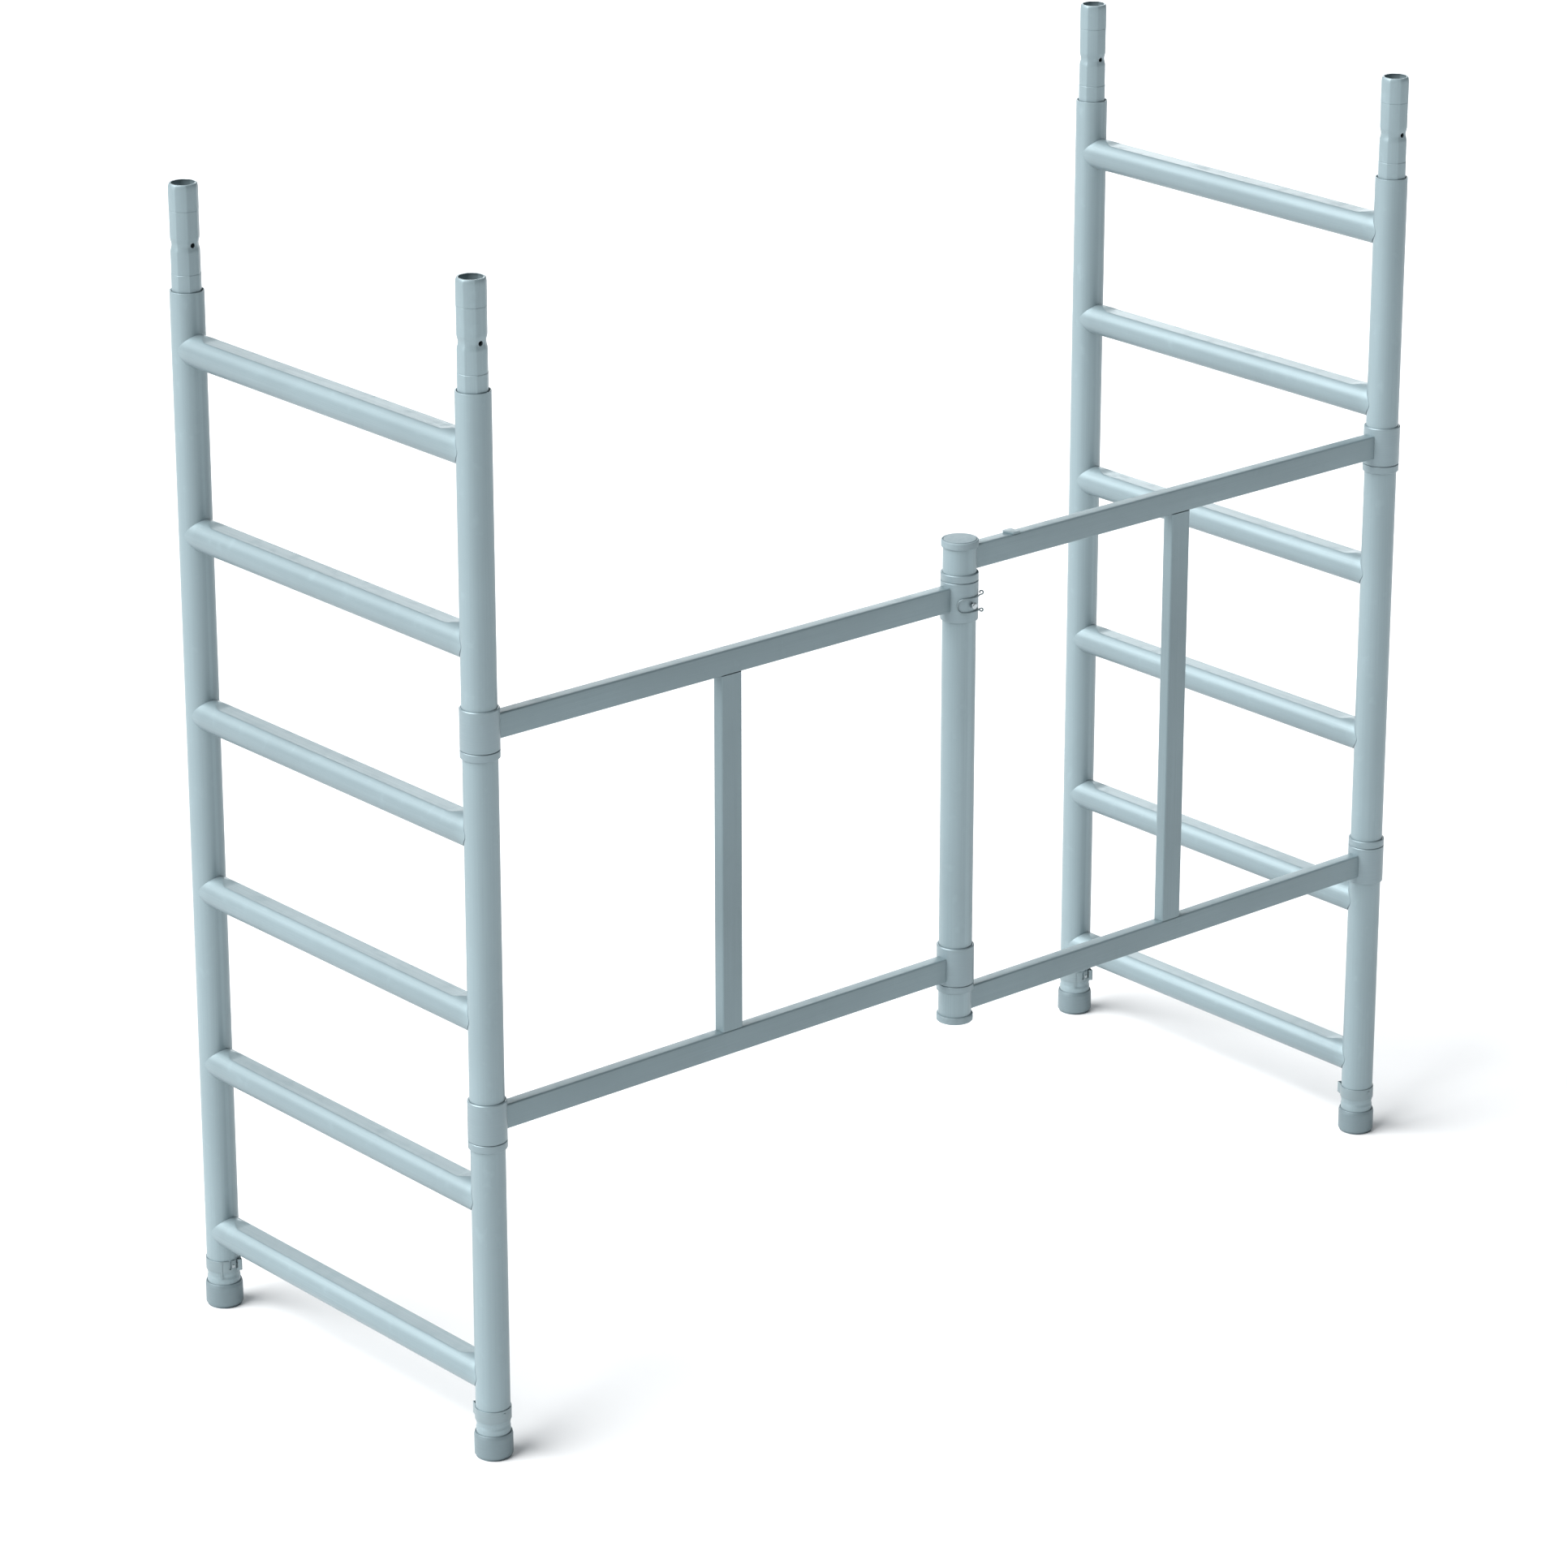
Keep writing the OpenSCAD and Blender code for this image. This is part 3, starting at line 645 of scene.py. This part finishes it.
class SCAFFOLD_OT_feet(bpy.types.Operator):
    """Add the four feet"""
    bl_idname = "scaffold.feet"
    bl_label = "Feet"

    def execute(self, context):
        scene = context.scene
        metals = finishes()
        soften = scene.scaffold_gate.soften
        for side, end in CORNERS:
            node = f"{side}_foot_{end}"
            middle, low, high = middle_of(node)
            tube_low, tube_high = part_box(f"{side}_upright_{end}")
            bore = radius_of(tube_low, tube_high)
            outline = foot_outline(bore, radius_of(low, high), low[2], high[2], soften)
            part = revolved(outline, scene.scaffold_tubes.segments)
            piece = stand(f"foot_shoe_{side}_{end}", part, middle)
            # The feet's material is the darker one that holds painted shade.
            settle(piece, node, metals["foot"])
        return {"FINISHED"}


class SCAFFOLD_OT_hinges(bpy.types.Operator):
    """Add the hinge collars and the stop rings that carry them"""
    bl_idname = "scaffold.hinges"
    bl_label = "Hinge collars and rings"

    def execute(self, context):
        scene = context.scene
        size = scene.scaffold_gate
        metals = finishes()
        tube_low, tube_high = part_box("centre_post")
        tube_radius = radius_of(tube_low, tube_high)
        ring_share = 0.7
        for kind, bore, chamfer in (
                ("collar", tube_radius + size.clearance, size.chamfer),
                ("ring", tube_radius, size.chamfer * ring_share)):
            for place in ("left", "post", "right"):
                for level in LEVELS:
                    node = f"{place}_{kind}_{level}"
                    middle, low, high = middle_of(node)
                    outline = ring_outline(
                        bore, radius_of(low, high), low[2], high[2], chamfer, size.soften)
                    part = revolved(outline, scene.scaffold_tubes.segments)
                    piece = stand(f"hinge_{kind}_{place}_{level}", part, middle)
                    if node == "post_collar_upper":
                        at = (middle[0], middle[1], middle_of("fold_lock_pin")[0][2])
                        drilled(piece, at, size.fold_hole, ACROSS, LOCK_REACH)
                    settle(piece, node, metals["turned"])
        return {"FINISHED"}


def box_section(width, height, corner):
    """Outline of a rectangle about the origin with round corners."""
    a, b = width / 2, height / 2
    return rounded([(a, b, corner), (-a, b, corner), (-a, -b, corner), (a, -b, corner)], 7)


class SCAFFOLD_OT_rails(bpy.types.Operator):
    """Add the four rails, coped to their tubes, and the two stiles between them"""
    bl_idname = "scaffold.rails"
    bl_label = "Rails and stiles"

    def execute(self, context):
        size = context.scene.scaffold_gate
        seam = context.scene.scaffold_rungs.seam
        metals = finishes()
        post, post_low, post_high = middle_of("centre_post")
        tube_radius = radius_of(post_low, post_high)
        collar_low, collar_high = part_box("post_collar_lower")
        collar_radius = radius_of(collar_low, collar_high)
        for side in SIDES:
            hinge = middle_of(f"{side}_collar_lower")[0][0]
            ends = sorted([
                (hinge, collar_radius),
                (post[0], collar_radius if side == "left" else tube_radius)])
            for level in LEVELS:
                node = f"{side}_rail_{level}"
                middle, low, high = middle_of(node)
                section = box_section(high[1] - low[1], high[2] - low[2], size.corner)
                y, z = section[:, 0], section[:, 1]
                near = ends[0][0] + np.sqrt(ends[0][1] ** 2 - y ** 2) + seam
                far = ends[1][0] - np.sqrt(ends[1][1] ** 2 - y ** 2) - seam
                share = np.linspace(0, 1, 9)[:, None]
                x = near + (far - near) * share
                rows = np.stack([x, middle[1] + y + 0 * x, middle[2] + z + 0 * x], -1)
                piece = add_object(f"gate_rail_{side}_{level}", *skin(rows, False))
                settle(piece, node, metals["rail"])
            node = f"{side}_stile"
            middle, low, high = middle_of(node)
            section = box_section(high[0] - low[0], high[1] - low[1], size.corner)
            z = np.linspace(low[2] + seam, high[2] - seam, 7)[:, None] + 0 * section[:, 0]
            x, y = middle[0] + section[:, 0] + 0 * z, middle[1] + section[:, 1] + 0 * z
            rows = np.stack([x, y, z], -1)
            piece = add_object(f"gate_stile_{side}", *skin(rows, False))
            settle(piece, node, metals["stile"])
        return {"FINISHED"}


def cap_outline(tube_radius, rim, depth, dome, soften):
    """Section of a post cap from its axis: low dome, groove, rim and the mouth that grips the tube.

    Heights are measured down from the highest point of the cap, which is at 0.
    """
    inset, plate = 0.001, 0.0040
    groove, groove_width, fine = 0.0020, 0.0011, 0.0002
    brow, brow_edge, chamfer, chamfer_drop = 0.0005, 0.0007, 0.0010, 0.0018
    lip, lip_rise = 0.0008, 0.0012
    disc = tube_radius - inset
    t = np.linspace(0, 1, 9)
    crown = np.stack([disc * t, -dome * t ** 2], -1)
    rest = rounded([
        (disc, -dome, 0.0003),
        (disc, -dome - groove, fine),
        (disc + groove_width, -dome - groove, fine),
        (disc + groove_width, -dome - brow, soften),
        (rim - chamfer, -dome - brow_edge, soften),
        (rim, -dome - chamfer_drop, soften),
        (rim, -depth + lip_rise, soften),
        (rim - lip, -depth, soften),
        (tube_radius, -depth, 0),
        (tube_radius, -dome - plate, 0),
        (0.0, -dome - plate, 0)])
    return np.vstack([crown[1:-1], rest[:-1]])


class SCAFFOLD_OT_post(bpy.types.Operator):
    """Add the centre post and its two end caps"""
    bl_idname = "scaffold.post"
    bl_label = "Post and caps"

    def execute(self, context):
        scene = context.scene
        size = scene.scaffold_tubes
        metals = finishes()
        dome = 0.0007
        middle, low, high = middle_of("centre_post")
        radius = radius_of(low, high)
        outline = tube_outline(radius, low[2], high[2], size)
        piece = stand("post_tube", revolved(outline, size.segments), middle)
        lock = (middle[0], middle[1], middle_of("fold_lock_pin")[0][2])
        fold = [j for j in RECORD["behaviour"]["joints"] if j["name"] == "middle_hinge"][0]
        turn = math.radians(fold["range_deg"][1])
        for angle in (0, turn):
            axis = (-math.sin(angle), math.cos(angle), 0)
            drilled(piece, lock, scene.scaffold_gate.fold_hole, axis, LOCK_REACH)
        settle(piece, "centre_post", metals["tube"])
        for level in LEVELS:
            node = f"post_cap_{level}"
            _, low, high = middle_of(node)
            outline = cap_outline(
                radius, radius_of(low, high), high[2] - low[2], dome, scene.scaffold_gate.soften)
            points, faces = revolved(outline, size.segments, False)
            if level == "upper":
                points = points + [0, 0, high[2]]
            else:
                points = points * [1, 1, -1] + [0, 0, low[2]]
            piece = stand(f"post_end_{level}", (points, faces), middle)
            settle(piece, node, metals["cap"])
        return {"FINISHED"}


def strip(path, thickness, low, high, soften=0.00025):
    """Grid of a bent strip: its section is a rounded rectangle that follows a plan curve.

    At each station the section is path + normal * across and middle height + up, where across and up
    run round the rectangle. Each corner is a quarter circle of radius soften that stops just short.
    """
    short = 0.02
    quarter = math.pi / 2
    tangent = np.gradient(path, axis=0)
    tangent /= np.linalg.norm(tangent, axis=1, keepdims=True)
    normal = np.stack([tangent[:, 1], -tangent[:, 0]], -1)
    t = (np.arange(4)[:, None] * quarter + np.linspace(short, quarter - short, 4)).ravel()
    thickness, low, high = (
        np.broadcast_to(value, len(path))[:, None] for value in (thickness, low, high))
    across = np.sign(np.cos(t)) * (thickness / 2 - soften) + soften * np.cos(t)
    up = np.sign(np.sin(t)) * ((high - low) / 2 - soften) + soften * np.sin(t)
    plan = path[:, None, :] + normal[:, None, :] * across[..., None]
    return np.concatenate([plan, ((low + high) / 2 + up)[..., None]], -1)


def polar(angle, radius):
    """Plan points at angles in degrees: (radius cos a, radius sin a)."""
    a = np.radians(angle)
    return np.stack([radius * np.cos(a), radius * np.sin(a)], -1)


def turned_along_y(outline, segments=48):
    """Points and faces of an outline (radius, distance) turned about the Y axis, closed at its ends."""
    points, faces = revolved(outline, segments, False)
    return points[:, [0, 2, 1]], faces


def put(parts, middle, end):
    """Points and faces of parts moved to an upright, turned half round for a rear one."""
    points, faces = joined(parts)
    return points * [inwards(end), inwards(end), 1] + [middle[0], middle[1], 0], faces


def clip_band(size, tube_radius, low, high):
    """Band of a front clip about its tube's axis: the strip, deeper past its lever, and a rivet."""
    first, meets, last, jump = 136, 403, 411, 0.4
    angle = np.concatenate([
        np.linspace(first, meets - jump, 68), np.linspace(meets + jump, last, 5)])
    bottom = np.where(angle < meets, high - size.height, low)
    path = polar(angle, tube_radius + size.thickness / 2)
    band = skin(strip(path, size.thickness, bottom, high), False)
    head, brow, crown, rise = 0.0025, 0.0012, 0.0012, 0.0018
    sunk, down = 0.0004, 0.3
    outline = rounded([
        (0, 0, 0), (head, 0, 0), (head, brow, 0.0006), (crown, rise, 0.001), (0, rise, 0)])
    rivet, faces = turned_along_y(outline[1:-1])
    rivet = rivet * [1, -1, 1]
    rivet += [0, -tube_radius - size.thickness + sunk, high - size.height * down]
    return [band, (rivet, faces)]


def clip_lever(size, tube_radius, low, high):
    """Strip of a front clip's lever about its tube's axis: an arc, and a thinner ear folded out."""
    gap, thinner, lower = 0.0003, 0.8, 0.0005
    arc_steps, bend_steps = 25, 9
    lie = tube_radius + gap + size.thickness / 2
    arc = polar(np.linspace(52, 100, arc_steps), lie)
    near, tip, far = polar(
        np.array([103.5, 113, 129.5]), np.array([lie, tube_radius + size.ear, lie]))
    corners = [(*point, 0) for point in arc] + [(*near, 0.0014), (*tip, 0.0013), (*far, 0)]
    path = rounded(corners, bend_steps)
    past = np.arange(len(path)) - arc_steps
    thick = np.where(past < 0, size.thickness, size.thickness * thinner)
    rise = np.clip(past / bend_steps, 0, 1) * lower
    return skin(strip(path, thick, low + rise, high - rise), False)


def clip_slot(start, low, high):
    """Cutter of a lever's slot, open at the top, from an angle in degrees."""
    width, within, beyond, over = 7, 0.022, 0.031, 0.002
    plan = np.vstack([
        polar(np.array([start, start + width]), within),
        polar(np.array([start + width, start]), beyond)])
    z = np.array([low, high + over])[:, None] + 0 * plan[:, 0]
    return skin(np.concatenate([np.broadcast_to(plan, (2, 4, 2)), z[..., None]], -1), False)


def latch_outline(radius, near, far):
    """Section of a lock pin from its chamfered tip to its softened end."""
    tip, back, fine, soft = 0.001, 0.0006, 0.0003, 0.0004
    return rounded([
        (0, near, 0), (radius - tip, near, fine), (radius, near + tip, soft),
        (radius, far - back, fine), (radius - back, far, fine), (0, far, 0)])[1:-1]


class SCAFFOLD_OT_clips(bpy.types.Operator):
    """Add the four spring clips of the stacking locks, each with its band, its lever and its pin"""
    bl_idname = "scaffold.clips"
    bl_label = "Spring clips"

    def execute(self, context):
        size = context.scene.scaffold_clips
        metals = finishes()
        slots, slot_share = (74, 99), 0.25
        within, beyond, clearance = 0.02, 0.04, 0.0001
        for side, end in CORNERS:
            tube, low, high = middle_of(f"{side}_upright_{end}")
            tube_radius = radius_of(low, high)
            where = f"{side}_{end}"

            node = f"{side}_clip_band_{end}"
            _, low, high = middle_of(node)
            band = clip_band(size, tube_radius, low[2], high[2])
            piece = add_object(f"spring_band_{where}", *put(band, tube, end))
            settle(piece, node, metals["spring"])

            node = f"{side}_clip_lever_{end}"
            _, low, high = middle_of(node)
            lever = clip_lever(size, tube_radius, low[2], high[2])
            piece = add_object(f"spring_lever_{where}", *put([lever], tube, end))
            for start in slots:
                slot = clip_slot(start, low[2] + size.height * slot_share, high[2])
                cut_away(piece, *put([slot], tube, end))
            pin_node = f"{side}_lock_pin_{end}"
            pin, pin_low, pin_high = middle_of(pin_node)
            radius = (pin_high[2] - pin_low[2]) / 2
            reach = sorted([inwards(end) * within, inwards(end) * beyond])
            drilled(piece, (tube[0], tube[1], pin[2]), radius + clearance, ACROSS, reach)
            settle(piece, node, metals["spring"])

            near, far = sorted(abs(value - tube[1]) for value in (pin_low[1], pin_high[1]))
            points, faces = turned_along_y(latch_outline(radius, near, far))
            latch = (points + [0, 0, pin[2]], faces)
            piece = add_object(f"latch_pin_{where}", *put([latch], tube, end))
            settle(piece, pin_node, metals["pin"])
        return {"FINISHED"}


def swept(path, radius, around=20):
    """Points and faces of a round bar along a path: path + radius * (cos a * side + sin a * other).

    The side of each station is the last one's side made square to the path again. A smaller row a
    short way out blunts each end.
    """
    blunt, out = 0.6, 0.4
    heading = np.gradient(path, axis=0)
    heading /= np.linalg.norm(heading, axis=1, keepdims=True)
    side = np.zeros_like(path)
    last = np.array([0.0, 0.0, 1.0])
    for i, direction in enumerate(heading):
        last = last - direction * (last @ direction)
        last /= np.linalg.norm(last)
        side[i] = last
    other = np.cross(heading, side)
    t = (np.arange(around) / around * TURN)[None, :, None]
    rows = path[:, None, :] + radius * (np.cos(t) * side[:, None, :] + np.sin(t) * other[:, None, :])
    ends = [
        (rows[0] - path[0]) * blunt + path[0] - heading[0] * radius * out,
        (rows[-1] - path[-1]) * blunt + path[-1] + heading[-1] * radius * out]
    return skin(np.concatenate([ends[:1], rows, ends[1:]]), False)


def lock_wire(collar_radius, size):
    """Path of the lock's wire round its collar: curled eye, leg, half the bend, and all that mirrored.

    It is laid out as angle in degrees, radius and height.
    """
    eye_at, leg_from, leg_to, bend_at = -45, -54, -114, -118
    eye_radius, lean = 0.0026, 60
    lie = collar_radius + size.wire + size.wire_gap
    eye = collar_radius + size.wire + size.wire_eye_gap
    t = np.radians(np.linspace(210, -90, 31))
    curl = np.stack([
        eye_at + np.degrees(t) / lean,
        eye + eye_radius * np.cos(t),
        size.wire_half + eye_radius * (1 + np.sin(t))])
    leg_angle = np.linspace(leg_from, leg_to, 21)
    leg = np.stack([leg_angle, lie + 0 * leg_angle, size.wire_half + 0 * leg_angle])
    span = math.degrees(size.wire_half / lie)
    t = np.radians(np.linspace(0, 84, 13))
    bend = np.stack([bend_at - span * np.sin(t), lie + 0 * t, size.wire_half * np.cos(t)])
    half = np.hstack([curl, leg, bend])
    tip = np.array([[bend_at - span], [lie], [0]])
    angle, radius, height = np.hstack([half, tip, half[:, ::-1] * [[1], [1], [-1]]])
    return np.concatenate([polar(angle, radius), height[:, None]], -1)


def stud_outline(head, inner, outer):
    """Section of the fold lock's pin: chamfered tip, shank and domed head."""
    step, thick, tip = 0.0015, 0.0033, 0.0008
    brow, crown = 0.0014, 0.0018
    fine, soft = 0.0003, 0.0004
    shank, under = head - step, outer - thick
    return rounded([
        (0, inner, 0), (shank - tip, inner, fine), (shank, inner + tip, soft),
        (shank, under, fine), (head, under, soft), (head, outer - brow, 0.0008),
        (head - crown, outer, 0.001), (0, outer, 0)])[1:-1]


def catch_rows(middle, low, high):
    """Grid of the catch plate: a plan with a slanted nose, drawn in at its upper and lower edges."""
    nose, slant, round_corner, round_nose = 0.004, 0.006, 0.0012, 0.0015
    edge, brink = 0.0003, 0.00008
    a, b = (high[:2] - low[:2]) / 2
    plan = rounded([
        (a, b, round_corner), (-a + nose, b, round_nose), (-a, b / 2, round_corner),
        (-a + slant, -b, round_nose), (a, -b, round_corner)], 6)
    inset = np.array([edge, 0, 0, brink, edge])[:, None, None]
    z = np.array([low[2], low[2] + edge, high[2] - edge, high[2] - brink, high[2]])
    return np.concatenate([
        plan * (1 - inset / a) + middle[:2],
        np.broadcast_to(z[:, None, None], (len(z), len(plan), 1))], -1)


class SCAFFOLD_OT_fold_lock(bpy.types.Operator):
    """Add the fold lock's pin and wire, and the catch plate on the right top rail"""
    bl_idname = "scaffold.fold_lock"
    bl_label = "Fold lock and catch"

    def execute(self, context):
        size = context.scene.scaffold_gate
        metals = finishes()
        post = middle_of("centre_post")[0]
        low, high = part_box("post_collar_upper")
        collar_radius = radius_of(low, high)
        pin, low, high = middle_of("fold_lock_pin")
        outline = stud_outline(radius_of(low, high), post[1] - high[1], post[1] - low[1])
        points, faces = turned_along_y(outline)
        piece = add_object("fold_stud", points * [1, -1, 1] + [post[0], post[1], pin[2]], faces)
        settle(piece, "fold_lock_pin", metals["pin"])

        path = lock_wire(collar_radius, size) + [post[0], post[1], pin[2]]
        piece = add_object("fold_spring", *swept(path, size.wire))
        settle(piece, "fold_lock_wire", metals["spring"])

        rows = catch_rows(*middle_of("rail_catch"))
        piece = add_object("catch_plate", *skin(rows, False))
        settle(piece, "rail_catch", metals["rail"])
        return {"FINISHED"}


# ---- stage ----

FLOOR_REACH, FLOOR_DROP = 60, 0.0005
FLOOR_COLOUR, FLOOR_ROUGHNESS = (0.86, 0.865, 0.87, 1), 0.9
SKY_COLOUR, SKY_STRENGTH = (0.93, 0.97, 1, 1), 0.32
SUN_STRENGTH, SUN_SPREAD, SUN_DIRECTION = 5.8, 60, (1, -0.38, -1.0)
SOFTBOX_PLACE, SOFTBOX_AIM, SOFTBOX_SIZE, SOFTBOX_POWER = (8.0, 9.0, 4.5), (0, 0, 0.8), 5.0, 330
LENS, SENSOR = 130, 36
AZIMUTH, ELEVATION, DISTANCE = 40.63, 20.34, 8.731
TARGET = (-0.0672, -0.0121, 0.7490)


def looking(direction):
    """Turn of a lamp or a camera that looks along a direction."""
    return direction.to_track_quat("-Z", "Y").to_euler()


def area_light(name, place, aim, size, power):
    """Square soft light at a place that faces a point."""
    data = bpy.data.lights.new(name, "AREA")
    data.size, data.energy = size, power
    lamp = bpy.data.objects.new(name, data)
    lamp.location = place
    lamp.rotation_euler = looking(Vector(aim) - Vector(place))
    bpy.context.scene.collection.objects.link(lamp)


def studio_floor():
    """Wide matt floor just below the feet."""
    ground = CAD_BOX[0][2] - FLOOR_DROP
    ways = ((-1, -1), (1, -1), (1, 1), (-1, 1))
    mesh = bpy.data.meshes.new("studio_floor")
    mesh.from_pydata([(x * FLOOR_REACH, y * FLOOR_REACH, ground) for x, y in ways], [], [(0, 1, 2, 3)])
    floor = bpy.data.objects.new("studio_floor", mesh)
    bpy.context.scene.collection.objects.link(floor)
    paint = bpy.data.materials.new("studio_white")
    paint.use_nodes = True
    shader = paint.node_tree.nodes["Principled BSDF"]
    shader.inputs["Base Color"].default_value = FLOOR_COLOUR
    shader.inputs["Roughness"].default_value = FLOOR_ROUGHNESS
    mesh.materials.append(paint)
    return floor


class SCAFFOLD_OT_stage(bpy.types.Operator):
    """Add the floor, the lights and the camera"""
    bl_idname = "scaffold.stage"
    bl_label = "Stage"

    def execute(self, context):
        scene = context.scene
        floor = studio_floor()
        world = bpy.data.worlds.new("studio")
        world.use_nodes = True
        sky = world.node_tree.nodes["Background"]
        sky.inputs["Color"].default_value = SKY_COLOUR
        sky.inputs["Strength"].default_value = SKY_STRENGTH
        scene.world = world
        sun = bpy.data.lights.new("sun", "SUN")
        sun.energy, sun.angle = SUN_STRENGTH, math.radians(SUN_SPREAD)
        lamp = bpy.data.objects.new("sun", sun)
        lamp.rotation_euler = looking(Vector(SUN_DIRECTION))
        scene.collection.objects.link(lamp)
        area_light("back_softbox", SOFTBOX_PLACE, SOFTBOX_AIM, SOFTBOX_SIZE, SOFTBOX_POWER)
        scene.view_settings.view_transform = "Standard"
        camera_data = bpy.data.cameras.new("camera")
        camera_data.lens, camera_data.sensor_width = LENS, SENSOR
        camera = bpy.data.objects.new("camera", camera_data)
        azimuth, elevation = math.radians(AZIMUTH), math.radians(ELEVATION)
        target = Vector(TARGET)
        back = Vector((
            -math.sin(azimuth) * math.cos(elevation),
            -math.cos(azimuth) * math.cos(elevation),
            math.sin(elevation)))
        camera.location = target + back * DISTANCE
        camera.rotation_euler = looking(-back)
        scene.collection.objects.link(camera)
        scene.camera = camera
        return {"FINISHED"}


class SCAFFOLD_PT_panel(bpy.types.Panel):
    """Every piece of the frame"""
    bl_label = "Scaffold base frame"
    bl_idname = "SCAFFOLD_PT_panel"
    bl_space_type = "VIEW_3D"
    bl_region_type = "UI"
    bl_category = "Scaffold"

    def draw(self, context):
        for operator in OPERATORS:
            self.layout.operator(operator.bl_idname)


OPERATORS = (
    SCAFFOLD_OT_uprights, SCAFFOLD_OT_spigots, SCAFFOLD_OT_rungs, SCAFFOLD_OT_feet,
    SCAFFOLD_OT_hinges, SCAFFOLD_OT_rails, SCAFFOLD_OT_post, SCAFFOLD_OT_clips,
    SCAFFOLD_OT_fold_lock, SCAFFOLD_OT_stage)
GROUPS = {
    "scaffold_tubes": TubeSizes,
    "scaffold_spigots": SpigotSizes,
    "scaffold_rungs": RungSizes,
    "scaffold_gate": GateSizes,
    "scaffold_clips": ClipSizes,
    "scaffold_finish": FinishColours,
}


def register():
    """Registers the sizes, the operators and the panel."""
    for name, group in GROUPS.items():
        bpy.utils.register_class(group)
        setattr(bpy.types.Scene, name, PointerProperty(type=group))
    for operator in OPERATORS:
        bpy.utils.register_class(operator)
    bpy.utils.register_class(SCAFFOLD_PT_panel)


def unregister():
    """Removes what register added."""
    bpy.utils.unregister_class(SCAFFOLD_PT_panel)
    for operator in reversed(OPERATORS):
        bpy.utils.unregister_class(operator)
    for name, group in reversed(GROUPS.items()):
        delattr(bpy.types.Scene, name)
        bpy.utils.unregister_class(group)


def main():
    """Builds the whole frame."""
    register()
    bpy.ops.scaffold.uprights()
    bpy.ops.scaffold.spigots()
    bpy.ops.scaffold.rungs()
    bpy.ops.scaffold.feet()
    bpy.ops.scaffold.hinges()
    bpy.ops.scaffold.rails()
    bpy.ops.scaffold.post()
    bpy.ops.scaffold.clips()
    bpy.ops.scaffold.fold_lock()
    bpy.ops.scaffold.stage()


if __name__ == "__main__":
    main()
